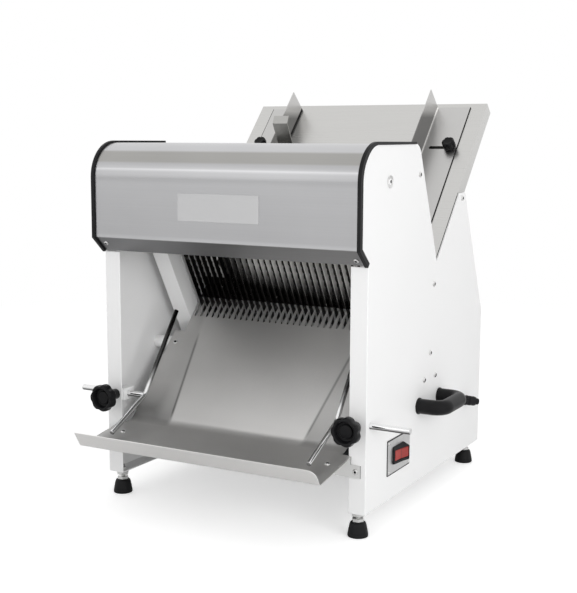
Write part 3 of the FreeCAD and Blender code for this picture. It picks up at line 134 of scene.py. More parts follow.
IMAGE_HEIGHT = 593
FOCAL_PIXELS = 1122.05
camera_data = bpy.data.cameras.new("camera")
camera_data.sensor_fit = "VERTICAL"
camera_data.sensor_width = 36.0
camera_data.sensor_height = 36.0
camera_data.lens = camera_data.sensor_height * FOCAL_PIXELS / IMAGE_HEIGHT
camera_data.clip_start = 0.05
camera_data.clip_end = 60.0
camera = new_object("camera", camera_data)
camera_spot = floor_place(945.5, -1520.0, 612.75)
camera.matrix_world = Matrix.Translation(camera_spot) @ look(28.794, 7.904, 0.236)
bpy.context.scene.camera = camera
bpy.context.scene.view_settings.view_transform = "Standard"
print(f"lens {camera_data.lens:.1f} mm")


# %% Lamps and world
def soft_lamp(name, place, target, size, watts):
    """A large square lamp that points at a place."""
    data = bpy.data.lights.new(name, "AREA")
    data.shape = "SQUARE"
    data.size = size
    data.energy = watts
    lamp = new_object(name, data)
    turn = (place - target).to_track_quat("Z", "Y").to_matrix().to_4x4()
    lamp.matrix_world = Matrix.Translation(place) @ turn
    return lamp


middle = Vector((0, 0, 0.35))
soft_lamp("key_lamp", Vector((-1.43, -2.74, 1.42)), middle, 1.5, 4)
front_lamp = soft_lamp("front_lamp", Vector((0.2, -3.1, 0.6)), middle, 2.0, 14)
side_lamp = soft_lamp("side_lamp", Vector((2.8, -1.65, 0.8)), middle, 2.0, 58)
for lamp in (front_lamp, side_lamp):
    lamp.visible_glossy = False


def white_world(diffuse, mirrored):
    """White to the camera, soft light for every surface, and a paler sky in bright metal."""
    world = bpy.data.worlds.new("studio")
    bpy.context.scene.world = world
    world.use_nodes = True
    tree = world.node_tree
    path = tree.nodes.new("ShaderNodeLightPath")
    output = tree.nodes["World Output"]
    soft = tree.nodes["Background"]
    glossy = tree.nodes.new("ShaderNodeBackground")
    backdrop = tree.nodes.new("ShaderNodeBackground")
    for background, strength in ((soft, diffuse), (glossy, mirrored), (backdrop, 1.0)):
        background.inputs["Color"].default_value = (1, 1, 1, 1)
        background.inputs["Strength"].default_value = strength
    shader = soft.outputs[0]
    for ray, background in (("Is Glossy Ray", glossy), ("Is Camera Ray", backdrop)):
        mix = tree.nodes.new("ShaderNodeMixShader")
        tree.links.new(path.outputs[ray], mix.inputs[0])
        tree.links.new(shader, mix.inputs[1])
        tree.links.new(background.outputs[0], mix.inputs[2])
        shader = mix.outputs[0]
    tree.links.new(shader, output.inputs["Surface"])


white_world(0.58, 0.95)
print("three lamps and a white world")

# %% [markdown]
# ## Writing materials as sums
#
# A material's pattern is arithmetic on numbers that change over the surface. A small class
# wraps a socket and overloads Python's operators, so `1 - mask` adds a Math node by itself.
# `Finish` holds one material and its Principled shader.


# %% Shader arithmetic
class Number:
    """A number that changes over the surface."""

    def __init__(self, tree, socket):
        self.tree = tree
        self.socket = socket

    def math(self, operation, first, second):
        node = self.tree.nodes.new("ShaderNodeMath")
        node.operation = operation
        for socket, value in zip(node.inputs, (first, second)):
            if isinstance(value, Number):
                self.tree.links.new(value.socket, socket)
            else:
                socket.default_value = value
        return Number(self.tree, node.outputs[0])

    def __add__(self, other):
        return self.math("ADD", self, other)

    def __radd__(self, other):
        return self.math("ADD", other, self)

    def __sub__(self, other):
        return self.math("SUBTRACT", self, other)

    def __rsub__(self, other):
        return self.math("SUBTRACT", other, self)

    def __mul__(self, other):
        return self.math("MULTIPLY", self, other)

    def unsigned(self):
        return self.math("ABSOLUTE", self, 0.0)

    def larger(self, other):
        return self.math("MAXIMUM", self, other)

    def smaller(self, other):
        return self.math("MINIMUM", self, other)

    def near(self, place, reach):
        """1 at a place, 0 further off than a reach."""
        away = (self - place).unsigned()
        return 1 - (away * (1 / reach)).smaller(1.0)

    def above(self, edge, soft):
        """0 below the edge, 1 above it, with a soft step between."""
        scaled = (self - edge + soft / 2) * (1 / soft)
        return scaled.larger(0.0).smaller(1.0)


def grey(level):
    return (level, level, level)


BLACK = grey(0.0)
SCRATCH_WAYS = {"X": (1.2, 260, 260), "Y": (260, 1.2, 260), "Z": (260, 260, 1.2)}


class Finish:
    """A material with one Principled shader."""

    def __init__(self, name, color, roughness, metallic=0.0):
        self.material = bpy.data.materials.new(name)
        self.material.use_nodes = True
        self.tree = self.material.node_tree
        self.shader = self.tree.nodes["Principled BSDF"]
        self.material.diffuse_color = (*color, 1)
        self.set("Base Color", (*color, 1))
        self.set("Roughness", roughness)
        self.set("Metallic", metallic)

    def node(self, kind, settings=None, **values):
        """Any node: its settings first, then the values or links of its sockets."""
        node = self.tree.nodes.new(kind)
        for key, value in (settings or {}).items():
            setattr(node, key, value)
        for key, value in values.items():
            self.fill(node.inputs[key.replace("_", " ")], value)
        return node

    def fill(self, socket, value):
        if isinstance(value, Number):
            value = value.socket
        if isinstance(value, bpy.types.NodeSocket):
            self.tree.links.new(value, socket)
        else:
            socket.default_value = value

    def set(self, socket, value):
        self.fill(self.shader.inputs[socket], value)

    def place(self):
        return self.node("ShaderNodeTexCoord").outputs["Object"]

    def axis(self, letter):
        """Millimetres from the middle (X), from the panels' front (Y) or from the bench (Z)."""
        parts = self.node("ShaderNodeSeparateXYZ", Vector=self.place())
        return Number(self.tree, parts.outputs[letter]) * 1000 - (PANEL_FRONT if letter == "Y" else 0.0)

    def facing(self):
        """The three parts of the way that the surface faces."""
        way = self.node("ShaderNodeTexCoord").outputs["Normal"]
        parts = self.node("ShaderNodeSeparateXYZ", Vector=way)
        return {letter: Number(self.tree, parts.outputs[letter]) for letter in "XYZ"}

    def noise(self, scale, detail=3.0, stretch=(1, 1, 1)):
        """Clouds of 0 to 1; a large stretch makes them narrow along that axis."""
        mapping = self.node("ShaderNodeMapping", Vector=self.place(), Scale=stretch)
        stretched = mapping.outputs[0]
        noise = self.node("ShaderNodeTexNoise", Vector=stretched, Scale=scale, Detail=detail)
        return Number(self.tree, noise.outputs["Fac"])

    def scratches(self, along):
        """Fine lines that all run along one axis of the frame."""
        return self.noise(3.2, 4.0, SCRATCH_WAYS[along])

    def blend(self, amount, first, second):
        """A colour between two colours."""
        mix = self.node("ShaderNodeMix", {"data_type": "RGBA"})
        self.fill(mix.inputs["Factor"], amount)
        for socket, color in ((mix.inputs[6], first), (mix.inputs[7], second)):
            self.fill(socket, color if isinstance(color, bpy.types.NodeSocket) else (*color, 1))
        return mix.outputs[2]

    def tint(self, amount, first, second):
        self.set("Base Color", self.blend(amount, first, second))

    def shine(self, amount, color=(0.99, 0.98, 0.965)):
        """A share of a steel's full colour."""
        self.tint(amount, BLACK, color)

    def bump(self, height, strength, depth):
        """Fine relief; depth is in metres."""
        bump = self.node("ShaderNodeBump", Height=height, Strength=strength, Distance=depth)
        self.set("Normal", bump.outputs["Normal"])

    def brush(self, scratch, spread, roughness, strength=0.10):
        """Scratches that show in the gloss and, very low, in the relief."""
        self.set("Roughness", scratch * spread + roughness)
        self.bump(scratch, strength, 0.0002)
        return self.material


print("numbers and finishes can be written as sums")

# %% [markdown]
# ## Finishes
#
# Powder coat is white with a faint orange-peel relief. Moulded plastic has a fine grain and
# little gloss, and lighter places where it is rubbed.


# %% Paint
def powder_coat(name, color, roughness=0.42):
    finish = Finish(name, color, roughness)
    cloud = finish.noise(3.0, 2.0)
    worn = finish.noise(9.0, 4.0)
    dim = tuple(0.955 * part for part in color)
    finish.tint(cloud, color, dim)
    finish.set("Roughness", worn * 0.12 + (roughness - 0.06))
    finish.bump(finish.noise(900.0, 2.0), 0.25, 0.00008)
    return finish.material


def moulded(name, color, roughness, grain=600.0):
    finish = Finish(name, color, roughness)
    finish.set("Specular IOR Level", 0.15)
    rubbed = finish.noise(14.0, 4.0)
    light = tuple(min(1.0, part * 1.4 + 0.002) for part in color)
    finish.tint(rubbed.above(0.55, 0.4), color, light)
    finish.set("Roughness", rubbed * 0.22 + (roughness - 0.1))
    finish.bump(finish.noise(grain, 3.0), 0.4, 0.00012)
    return finish.material


panel_white = powder_coat("panel white", grey(0.86))
frame_white = powder_coat("frame white", grey(0.88), 0.38)
base_grey = powder_coat("base grey", (0.14, 0.145, 0.15), 0.5)
motor_enamel = powder_coat("motor enamel", (0.10, 0.13, 0.17), 0.4)
plate_grey = powder_coat("plate grey", (0.52, 0.52, 0.525), 0.5)
edge_rubber = moulded("edge rubber", (0.010, 0.010, 0.0105), 0.42)
knob_plastic = moulded("knob plastic", (0.006, 0.006, 0.0065), 0.26)
tube_black = moulded("tube black", (0.006, 0.006, 0.0065), 0.32, 320.0)
foot_rubber = moulded("foot rubber", (0.008, 0.008, 0.0085), 0.42)
belt_rubber = moulded("belt rubber", (0.022, 0.021, 0.020), 0.75)
housing_plastic = moulded("housing plastic", (0.012, 0.012, 0.013), 0.40)


def rocker_plastic():
    """Red plastic with painted shade: a dark line in the fold between the rocker's two faces, and a
    slightly darker rear face.
    """
    finish = Finish("rocker red", (0.30, 0.022, 0.018), 0.30)
    y = finish.axis("Y")
    fold = y.near(SWITCH_MIDDLE[0], 1.6)
    rear = y.above(SWITCH_MIDDLE[0], 0.5)
    # painted shade: dark in the fold, and a little darker over the rear face
    shade = fold * 0.7 + rear * 0.16
    finish.tint(shade, (0.34, 0.026, 0.020), (0.02, 0.004, 0.004))
    finish.set("Roughness", finish.noise(14.0, 4.0) * 0.2 + 0.22)
    return finish.material


rocker_red = rocker_plastic()
print("paints, plastics and rubbers are ready")

# %% [markdown]
# ## Steel
#
# Brushed steel is metal whose fine scratches all run one way: a noise pattern stretched along
# them feeds colour, roughness and relief. The scratches are much finer than the folds, so their
# bump stays very low. Masks along a sheet's own millimetres also paint light and shade into its colour:
# reflections and highlights, and shade in folds, low down under the hood and at the feet of parts.


# %% Brushed steel
def brushed(name, color, roughness, along="X", depth=0.05):
    """Steel with fine scratches along one axis of the frame."""
    finish = Finish(name, color, roughness, 1.0)
    scratch = finish.scratches(along)
    cloud = finish.noise(4.5, 3.0)
    shade = scratch * depth + cloud * 0.05 + (1 - (depth + 0.05) / 2)
    finish.shine(shade * 0.93, color)
    return finish.brush(scratch, 0.16, cloud * 0.06 + (roughness - 0.11))


chute_steel = brushed("chute steel", (0.62, 0.615, 0.60), 0.30)
grip_steel = brushed("grip steel", (0.50, 0.495, 0.48), 0.38)
machined_steel = brushed("machined steel", grey(0.52), 0.32, "Z", 0.12)
pulley_iron = brushed("pulley iron", (0.20, 0.20, 0.21), 0.45, "Z", 0.2)
zinc = brushed("zinc", (0.86, 0.86, 0.85), 0.22, "X", 0.04)
print("five plain steels")

# %% Hood and tray
CHIN_EDGE = 451.5
HIGHLIGHT_HEIGHT = 566
BAND_LOW = 577
BAND_HIGH = 595


def banded_hood():
    """Painted reflections in the hood's bend, each band the whole width at one height: a highlight
    line, a dim band under it, a darker warm band, a brighter top and a highlight just above the chin's
    edge, with painted shade on the chin.
    """
    finish = Finish("hood steel", grey(0.5), 0.30, 1.0)
    height = finish.axis("Z")
    scratch = finish.scratches("X")
    cloud = finish.noise(5.0, 2.0)
    # painted reflections and highlights, band by band; the chin gets painted shade
    line = height.near(HIGHLIGHT_HEIGHT, 2.2)
    painted_dim_band = height.above(HIGHLIGHT_HEIGHT - 18, 10) - height.above(HIGHLIGHT_HEIGHT - 3, 3)
    step = height.above(HIGHLIGHT_HEIGHT + 2, 2) - height.above(BAND_LOW, 3)
    shade = height.above(BAND_LOW, 3) - height.above(BAND_HIGH, 3)
    foot = height.above(CHIN_EDGE, 1.0) - height.above(CHIN_EDGE + 5.5, 4)
    chin = 1 - height.above(CHIN_EDGE, 1.5)
    amount = 0.54 + line * 0.12 - painted_dim_band * 0.08 - shade * 0.12 - step * 0.02
    amount = amount + height.above(BAND_HIGH, 3) * 0.10 + foot * 0.08 - chin * 0.34
    amount = amount + (cloud - 0.5) * 0.10 + (scratch - 0.5) * 0.06
    # the warm tint is the colour of the painted reflection band
    cool = finish.blend(amount, (0.06, 0.06, 0.062), (0.90, 0.90, 0.915))
    warm = finish.blend(amount, (0.06, 0.06, 0.058), (0.90, 0.885, 0.855))
    finish.tint(shade, cool, warm)
    return finish.brush(scratch, 0.14, 0.24, 0.08)


def tray_sheet():
    """Painted light and shade: brighter on the steep part, the lip and towards the lit right side;
    painted shade in the crease, on the wings and their lower ends, at the steep part's foot and near
    the comb.
    """
    finish = Finish("tray steel", (0.7, 0.69, 0.68), 0.42, 1.0)
    along = finish.axis("Y")
    across = finish.axis("X")
    scratch = finish.scratches("Y")
    cloud = finish.noise(5.5, 3.0)
    steep = along.above(11, 18)
    lip = 1 - along.above(-105, 4)
    fold = across.unsigned() - crease_reach(along)
    crease = fold.near(0, 3.5) * (along.above(24, 16) - along.above(140, 20))
    wing = fold.above(0, 8) * steep
    low_wing_shade = (1 - along.above(45, 50)) * wing
    top = along.above(140, 60)
    right = across.above(60, 300)
    foot = steep * (1 - along.above(70, 90))
    # painted reflection and light: steep part, lip and right side brighter; painted shade in the
    # crease, on the wings, at the foot and near the comb
    amount = 0.52 + right * 0.12 + steep * (0.22 + right * 0.10) + lip * (0.38 - right * 0.10)
    amount = amount - foot * 0.10 - crease * 0.40 - wing * 0.08 - low_wing_shade * 0.26 - top * 0.08
    finish.shine(amount + (cloud - 0.5) * 0.16 + (scratch - 0.5) * 0.07)
    return finish.brush(scratch, 0.14, cloud * 0.08 + steep * 0.10 + 0.30)


hood_steel = banded_hood()
tray_steel = tray_sheet()
print("steels of the hood and the tray")


# %% Chute and loaf guides
def chute_numbers(finish):
    """Millimetres along the chute's bed and above it, at each point of a surface."""
    slope = radians(CHUTE_SLOPE)
    y = finish.axis("Y") - CHUTE_FOOT[0]
    z = finish.axis("Z") - CHUTE_FOOT[1]
    along = y * cos(slope) + z * sin(slope)
    return along, z * cos(slope) - y * sin(slope)


FENCE_UPRIGHT = 149
FENCE_RIM = 212.4
# the painted shadow under each loaf guide's slot spans these distances from the middle
SLOT_SHADE_START = 154
SLOT_SHADE_END = 212


def fence_sheet():
    """Dull steel with painted light: the upright shaded below its lit top, a painted shadow as a dark
    bead along the left guide's foot and along the outer rim, and a painted highlight along the right
    guide's foot.
    """
    finish = Finish("fence steel", grey(0.4), 0.34, 1.0)
    _, over_bed = chute_numbers(finish)
    across = finish.axis("X")
    scratch = finish.scratches("Y")
    upright = 1 - across.unsigned().above(FENCE_UPRIGHT, 1)
    high = finish.axis("Z").above(664, 14)
    foot = upright * (1 - over_bed.above(4.6, 0.5))
    left = 1 - across.above(0, 10)
    dark = (foot * left).larger(across.unsigned().above(FENCE_RIM, 0.4))
    # painted light: upright shaded below its top; painted shadow at the left guide's foot, painted
    # highlight at the right one's
    amount = 0.60 - upright * (1 - high) * 0.36 + upright * high * 0.02 + (scratch - 0.5) * 0.06
    finish.shine((amount + foot * (1 - left) * 0.5) * (1 - dark))
    return finish.brush(scratch, 0.14, 0.28)


def chute_sheet():
    """The chute's sheet: painted near black low down as the shade under the hood, with bright side
    flanges, and a painted shadow on the bed under each guide's slot.
    """
    finish = Finish("chute sheet", grey(0.6), 0.30, 1.0)
    scratch = finish.scratches("X")
    out = finish.axis("X").unsigned()
    along, _ = chute_numbers(finish)
    # painted shade low down under the hood; painted shadow under each guide's slot
    out_of_shade = finish.axis("Z").above(500, 140).larger(out.above(214, 1))
    slot_shade = out.above(SLOT_SHADE_START, 1) - out.above(SLOT_SHADE_END, 1)
    slot_shade = along.near(STUD_TRACK, 4.5).above(0.25, 0.2) * slot_shade
    light_part = finish.blend(scratch, (0.60, 0.595, 0.58), (0.68, 0.675, 0.66))
    finish.tint(out_of_shade * (1 - slot_shade), (0.020, 0.019, 0.018), light_part)
    return finish.brush(scratch, 0.16, 0.22)


fence_steel = fence_sheet()
chute_bed = chute_sheet()
print("steels of the chute and its guides")


# %% Blades, rods and plates
def ground_blades():
    """Blade steel with painted light: bright high up and towards the upper right, where it is also less
    metallic, painted shade lower down, and painted glints in the dark.
    """
    finish = Finish("blade steel", grey(0.6), 0.25, 1.0)
    height = finish.axis("Z")
    across = finish.axis("X")
    scratch = finish.noise(4.0, 4.0, (260, 260, 1.5))
    # painted glints on the dark steel
    specks = finish.noise(160.0, 2.0).above(0.69, 0.05)
    # painted light high up and towards the upper right; painted shade below
    out_of_shade = height.above(440, 30)
    light_part = across.above(-70, 60) * (height + across * 0.14).above(372, 40)
    bright = light_part.larger(out_of_shade)
    lit = finish.blend(scratch, (0.74, 0.73, 0.71), (0.95, 0.94, 0.92))
    dull = finish.blend(scratch, (0.035, 0.034, 0.033), (0.075, 0.073, 0.070))
    finish.tint(bright.larger(specks * 0.6), dull, lit)
    finish.set("Metallic", 1 - (bright - out_of_shade) * 0.9)
    finish.set("Roughness", scratch * 0.12 + 0.20)
    return finish.material


def chromed(name):
    """Bright drawn rod with painted shade: its lower side, and its high part in the shade, are painted
    nearly black.
    """
    finish = Finish(name, grey(0.8), 0.14, 1.0)
    facing = finish.facing()
    down = 1 - facing["Z"].above(-0.30, 0.5)
    high = finish.axis("Z").above(200, 50) * finish.axis("Y").above(28, 8)
    dark = down.larger(high * facing["X"].above(-0.62, 0.3))
    streak = finish.noise(6.0, 2.0, (4, 60, 60))
    finish.tint(dark * 0.95, grey(0.88), grey(0.02))
    finish.set("Roughness", streak * 0.06 + 0.09)
    return finish.material


def bracket_sheet():
    """Pale zinc sheet; the upright webs lie in the shade of the tray and are painted dark as that
    shade.
    """
    finish = Finish("bracket steel", grey(0.8), 0.42, 1.0)
    web = finish.facing()["X"].unsigned().above(0.7, 0.2)
    scratch = finish.scratches("Y")
    pale = finish.blend(scratch, (0.78, 0.78, 0.77), (0.88, 0.88, 0.87))
    # painted shade on the upright webs
    finish.tint(web, pale, (0.16, 0.165, 0.16))
    finish.set("Roughness", scratch * 0.12 + 0.36)
    return finish.material


def plate_sheet():
    """The switch plate: pale steel with a dark line along three of its edges."""
    finish = Finish("switch plate steel", grey(0.7), 0.4, 1.0)
    low, high = (corner * 1000 - Vector((0, PANEL_FRONT, 0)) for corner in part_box("switch_plate"))
    height = finish.axis("Z")
    ends = height.near(low.z + 0.5, 1.9).larger(height.near(high.z - 0.5, 1.9))
    line = ends.larger(finish.axis("Y").near(low.y + 0.4, 1.1))
    scratch = finish.scratches("Z")
    pale = finish.blend(scratch, grey(0.60), grey(0.84))
    finish.tint(line.above(0.25, 0.3), pale, grey(0.02))
    finish.set("Roughness", scratch * 0.2 + 0.3)
    return finish.material


blade_steel = ground_blades()
bright_rod = chromed("bright rod")
bracket_steel = bracket_sheet()
switch_steel = plate_sheet()
print("steels of the blades, rods and plates")

# %% Finishes of the CAD nodes that stay visible
INNER_PARTS = [
    (panel_white, "rear_cover"),
    (frame_white, "guide_spacers"),
    (base_grey, "base_plate motor_cradle"),
    (motor_enamel, "motor_body"),
    (belt_rubber, "drive_belt"),
    (machined_steel, "crankshaft connecting_rods_front connecting_rods_rear motor_shaft tower_tie"),
    (machined_steel, "blade_hooks_front blade_hooks_rear"),
    (pulley_iron, "crank_pulley motor_pulley crank_bearings"),
    (zinc, "loaf_guide_studs"),
]
for material, group in INNER_PARTS:
    for node in group.split():
        mesh = nodes[node].data
        mesh.materials.clear()
        mesh.materials.append(material)
print(f"{len(INNER_PARTS)} kinds of inner parts have their finish")

# %% [markdown]
# ## Tools for mesh pieces
#
# Every piece below is built with `bmesh`, in the frame's metres, around an object at the
# origin. `finished` turns it into an object: the piece gets smooth shading up to a crease
# angle, rides on its body, and may stand for a CAD node, which is then hidden.


# %% Mesh tools
def baked(holder):
    """The plain mesh of an object with its modifiers; the object itself is thrown away."""
    bpy.context.view_layer.update()
    graph = bpy.context.evaluated_depsgraph_get()
    mesh = bpy.data.meshes.new_from_object(holder.evaluated_get(graph))
    bpy.data.objects.remove(holder)
    return mesh


def flat_faced(mesh):
    """Large faces keep their own direction, so that only the narrow round ones shade softly."""
    holder = new_object(mesh.name, mesh)
    holder.modifiers.new("weighted", "WEIGHTED_NORMAL").keep_sharp = True
    return baked(holder)


def settle(name, mesh, body, material, stands_for=None, crease=35):
    """Make a mesh a piece of the machine."""
    mesh.materials.clear()
    mesh.materials.append(material)
    mesh.shade_smooth()
    mesh.set_sharp_from_angle(angle=radians(crease))
    thing = new_object(name, flat_faced(mesh))
    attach(thing, body)
    if stands_for:
        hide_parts(stands_for)
    return thing


def as_mesh(name, form):
    """A closed bmesh with its normals outwards, as mesh data."""
    bmesh.ops.remove_doubles(form, verts=form.verts, dist=1e-7)
    bmesh.ops.recalc_face_normals(form, faces=form.faces)
    mesh = bpy.data.meshes.new(name)
    form.to_mesh(mesh)
    form.free()
    return mesh


def finished(name, form, body, material, stands_for=None, crease=35):
    return settle(name, as_mesh(name, form), body, material, stands_for, crease)


def round_edges(form, width, segments=2, angle=30, chosen=None):
    """Round the edges that fold by more than an angle; width is in millimetres."""
    edges = []
    for edge in form.edges:
        if len(edge.link_faces) == 2 and edge.calc_face_angle() > radians(angle):
            if chosen is None or chosen(edge):
                edges.append(edge)
    bmesh.ops.bevel(
        form, geom=edges, offset=width / 1000, segments=segments,
        profile=0.5, affect="EDGES", clamp_overlap=True,
    )


def is_fold(edge, large=0.0015):
    """An outer edge between two faces that are both larger than an area in square metres."""
    return edge.is_convex and all(face.calc_area() > large for face in edge.link_faces)


def softened(node, width, bend=0.0):
    """A CAD node's shape with fine rounded edges, and wider bends at its folds."""
    form = bmesh.new()
    form.from_mesh(nodes[node].data)
    bmesh.ops.remove_doubles(form, verts=form.verts, dist=1e-6)
    bmesh.ops.dissolve_limit(form, angle_limit=radians(0.5), verts=form.verts, edges=form.edges)
    if bend:
        round_edges(form, bend, 4, 60, is_fold)
    round_edges(form, width, 2)
    return form


print("tools for pieces and edges")


# %% Rings, paths and tubes
def rings_solid(form, rings, place):
    """Join rings of equally many points; the first and the last are closed by a face."""
    loops = [[form.verts.new(place(*point)) for point in ring] for ring in rings]
    count = len(loops[0])
    for low, high in zip(loops, loops[1:]):
        for index in range(count):
            after = (index + 1) % count
            form.faces.new((low[index], low[after], high[after], high[index]))
    form.faces.new(loops[0])
    form.faces.new(loops[-1])


def circle(radius, height, steps=40, lobes=0, depth=0.0, turn=0.0):
    """One ring about an axis; lobes cut shallow notches into it."""
    ring = []
    for index in range(steps):
        angle = 2 * pi * index / steps
        notch = (0.5 - 0.5 * cos(lobes * angle)) ** 2 if lobes else 0.0
        reach = radius - depth * notch
        ring.append((reach * cos(angle + turn), reach * sin(angle + turn), height))
    return ring


def lathe(form, profile, place, steps=40):
    """Turn a profile of (radius, height) about an axis."""
    rings_solid(form, [circle(radius, height, steps) for radius, height in profile], place)


def prism(form, profile, place):
    """Turn a profile of (width across the flats, height) into a nut."""
    rings_solid(form, [circle(across / sqrt(3), height, 6) for across, height in profile], place)


def rounded_path(corners, radius, steps=8):
    """Points along straight runs whose inner corners are arcs; everything in millimetres."""
    points = [Vector(corners[0])]
    for before, corner, after in zip(corners, corners[1:], corners[2:]):
        corner = Vector(corner)
        back = (Vector(before) - corner).normalized()
        ahead = (Vector(after) - corner).normalized()
        half = back.angle(ahead) / 2
        reach = radius / tan(half)
        centre = corner + (back + ahead).normalized() * radius / sin(half)
        first = corner + back * reach - centre
        last = corner + ahead * reach - centre
        for index in range(steps + 1):
            share = index / steps
            points.append(centre + first.slerp(last, share).normalized() * radius)
    points.append(Vector(corners[-1]))
    return points


def tube(form, points, radius, end=1.0, steps=24):
    """Sweep a circle along points of the frame in millimetres, with rounded ends."""

    def rounded(point, way):
        steps_in = [(point, radius - end), (point + way * end * 0.3, radius - end * 0.3)]
        return steps_in + [(point + way * end, radius)]

    way = (points[1] - points[0]).normalized()
    stops = rounded(points[0], way) + [(point, radius) for point in points[1:-1]]
    stops += reversed(rounded(points[-1], (points[-2] - points[-1]).normalized()))
    side = way.orthogonal().normalized()
    loops = []
    for index, (centre, reach) in enumerate(stops):
        before = stops[max(index - 1, 0)][0]
        after = stops[min(index + 1, len(stops) - 1)][0]
        turned = (after - before).normalized()
        side = (way.rotation_difference(turned) @ side).normalized()
        way = turned
        up = way.cross(side)
        ring = []
        for step in range(steps):
            angle = 2 * pi * step / steps
            ring.append(centre + (side * cos(angle) + up * sin(angle)) * reach)
        loops.append(ring)
    rings_solid(form, loops, lambda x, y, z: Vector((x, y, z)) / 1000)


def on_floor(x, y, z):
    """A point of the floor datum in the frame's millimetres, for a tube's path."""
    return floor_place(x, y, z) * 1000


print("tools for rings and tubes")

# %% [markdown]
# ## Scattered parts
#
# Blades and screws repeat. A Geometry Nodes tree copies one finished shape to a list of
# points and turns each copy to face the way that its point says. A change to the shape
# changes every copy.


# %% Geometry Nodes tree
def copies_tree():
    """A tree whose inputs are the points, the part and its finish."""
    tree = bpy.data.node_groups.new("copies on points", "GeometryNodeTree")
    for label, kind in (("Points", "Geometry"), ("Part", "Object"), ("Finish", "Material")):
        tree.interface.new_socket(label, in_out="INPUT", socket_type=f"NodeSocket{kind}")
    tree.interface.new_socket("Result", in_out="OUTPUT", socket_type="NodeSocketGeometry")
    kinds = (
        "NodeGroupInput", "GeometryNodeObjectInfo", "GeometryNodeInputNamedAttribute",
        "FunctionNodeAlignRotationToVector", "GeometryNodeInstanceOnPoints",
        "GeometryNodeRealizeInstances", "GeometryNodeSetMaterial", "NodeGroupOutput",
    )
    given, part, facing, turn, copies, real, dress, result = map(tree.nodes.new, kinds)
    facing.data_type = "FLOAT_VECTOR"
    facing.inputs["Name"].default_value = "facing"
    turn.axis = "Z"
    links = [
        (given, "Part", part, "Object"),
        (facing, "Attribute", turn, "Vector"),
        (given, "Points", copies, "Points"),
        (part, "Geometry", copies, "Instance"),
        (turn, "Rotation", copies, "Rotation"),
        (copies, "Instances", real, "Geometry"),
        (real, "Geometry", dress, "Geometry"),
        (given, "Finish", dress, "Material"),
        (dress, "Geometry", result, "Result"),
    ]
    for source, output, target, entry in links:
        tree.links.new(source.outputs[output], target.inputs[entry])
    return tree


COPIES = copies_tree()


def scattered(name, form, spots, material):
    """Copies of a part on spots of (place, facing), as one mesh."""
    part = bpy.data.objects.new(f"{name} part", as_mesh(f"{name} part", form))
    points = bpy.data.meshes.new(f"{name} points")
    points.from_pydata([place for place, _ in spots], [], [])
    layer = points.attributes.new("facing", "FLOAT_VECTOR", "POINT")
    for index, (_, facing) in enumerate(spots):
        layer.data[index].vector = facing
    holder = new_object(name, points)
    modifier = holder.modifiers.new("copies", "NODES")
    modifier.node_group = COPIES
    values = {"Part": part, "Finish": material}
    for item in COPIES.interface.items_tree:
        if item.name in values:
            modifier[item.identifier] = values[item.name]
    copies = baked(holder)
    copies.name = name
    bpy.data.objects.remove(part)
    return copies


print("a Geometry Nodes tree is ready")

# %% [markdown]
# ## Blades
#
# A bread blade is a thin strip whose working edge is ground and scalloped, so that the
# points bite into the crust. One blade is lofted through cross-sections, and the tree
# repeats it over its frame. The two frames' blades alternate, half a step apart.

# %% Blades
BLADE_LOW = -112
BLADE_HIGH = 242
BLADE_HALF = 6
BLADE_WALL = 0.8
BLADE_PITCH = 12
SCALLOP = 13
SCALLOP_DEPTH = 1.9


def blade(x):
    """One blade at the start of its row."""
    form = bmesh.new()
    samples = 6 * round((BLADE_HIGH - BLADE_LOW) / SCALLOP)
    half = BLADE_WALL / 2
    rings = []
    for index in range(samples + 1):
        up = BLADE_LOW + (BLADE_HIGH - BLADE_LOW) * index / samples
        edge = BLADE_HALF - SCALLOP_DEPTH * abs(sin(pi * index / 6))
        ground = edge - 2.2
        rings.append([
            (x - half, -BLADE_HALF, up), (x + half, -BLADE_HALF, up), (x + half, ground, up),
            (x + 0.08, edge, up), (x - 0.08, edge, up), (x - half, ground, up),
        ])
    rings_solid(form, rings, blade_place)
    return form


BLADE_ROWS = {"front": 16, "rear": 15}
for frame_name, count in BLADE_ROWS.items():
    start = -(count - 1) * BLADE_PITCH
    name = f"scalloped_blades_{frame_name}"
    step = 2 * BLADE_PITCH / 1000
    spots = [(Vector((step * index, 0, 0)), Vector((0, 0, 1))) for index in range(count)]
    mesh = scattered(name, blade(start), spots, blade_steel)
    body = f"blades_{frame_name}_frame"
    settle(name, mesh, body, blade_steel, f"blades_{frame_name}", 20)
print(f"{sum(BLADE_ROWS.values())} scalloped blades")

# %% [markdown]
# ## Receiving tray
#
# The tray is one sheet: a lip, a shelf, a wide bend and a steep part that ends in a comb,
# whose pointed fingers reach between the blades. The sheet is laid out as rows across its
# profile, and then gets its wall.

# %% Receiving tray
TRAY_WALL = 1.5
TRAY_HALF = 206
SHELF_HALF = 222
COMB_NECK = 186.5
COMB_PITCH = 12
COMB_SLOTS = 31
COMB_LENGTH = 45
LIP_TOP = (0, -121, 138.5)
LIP_FOLD = (0, -106, 114)
SHELF_MIDDLE = (0, -30, 127.4)
TRAY_BEND = (0, 14.19, 135.19)
COMB_FOOT = Vector((0, 172, 293))
LIP_ROUND = 14
SHELF_LENGTH = 104
WING_SLOPE = 0.045
RIM_DROP = 3.2


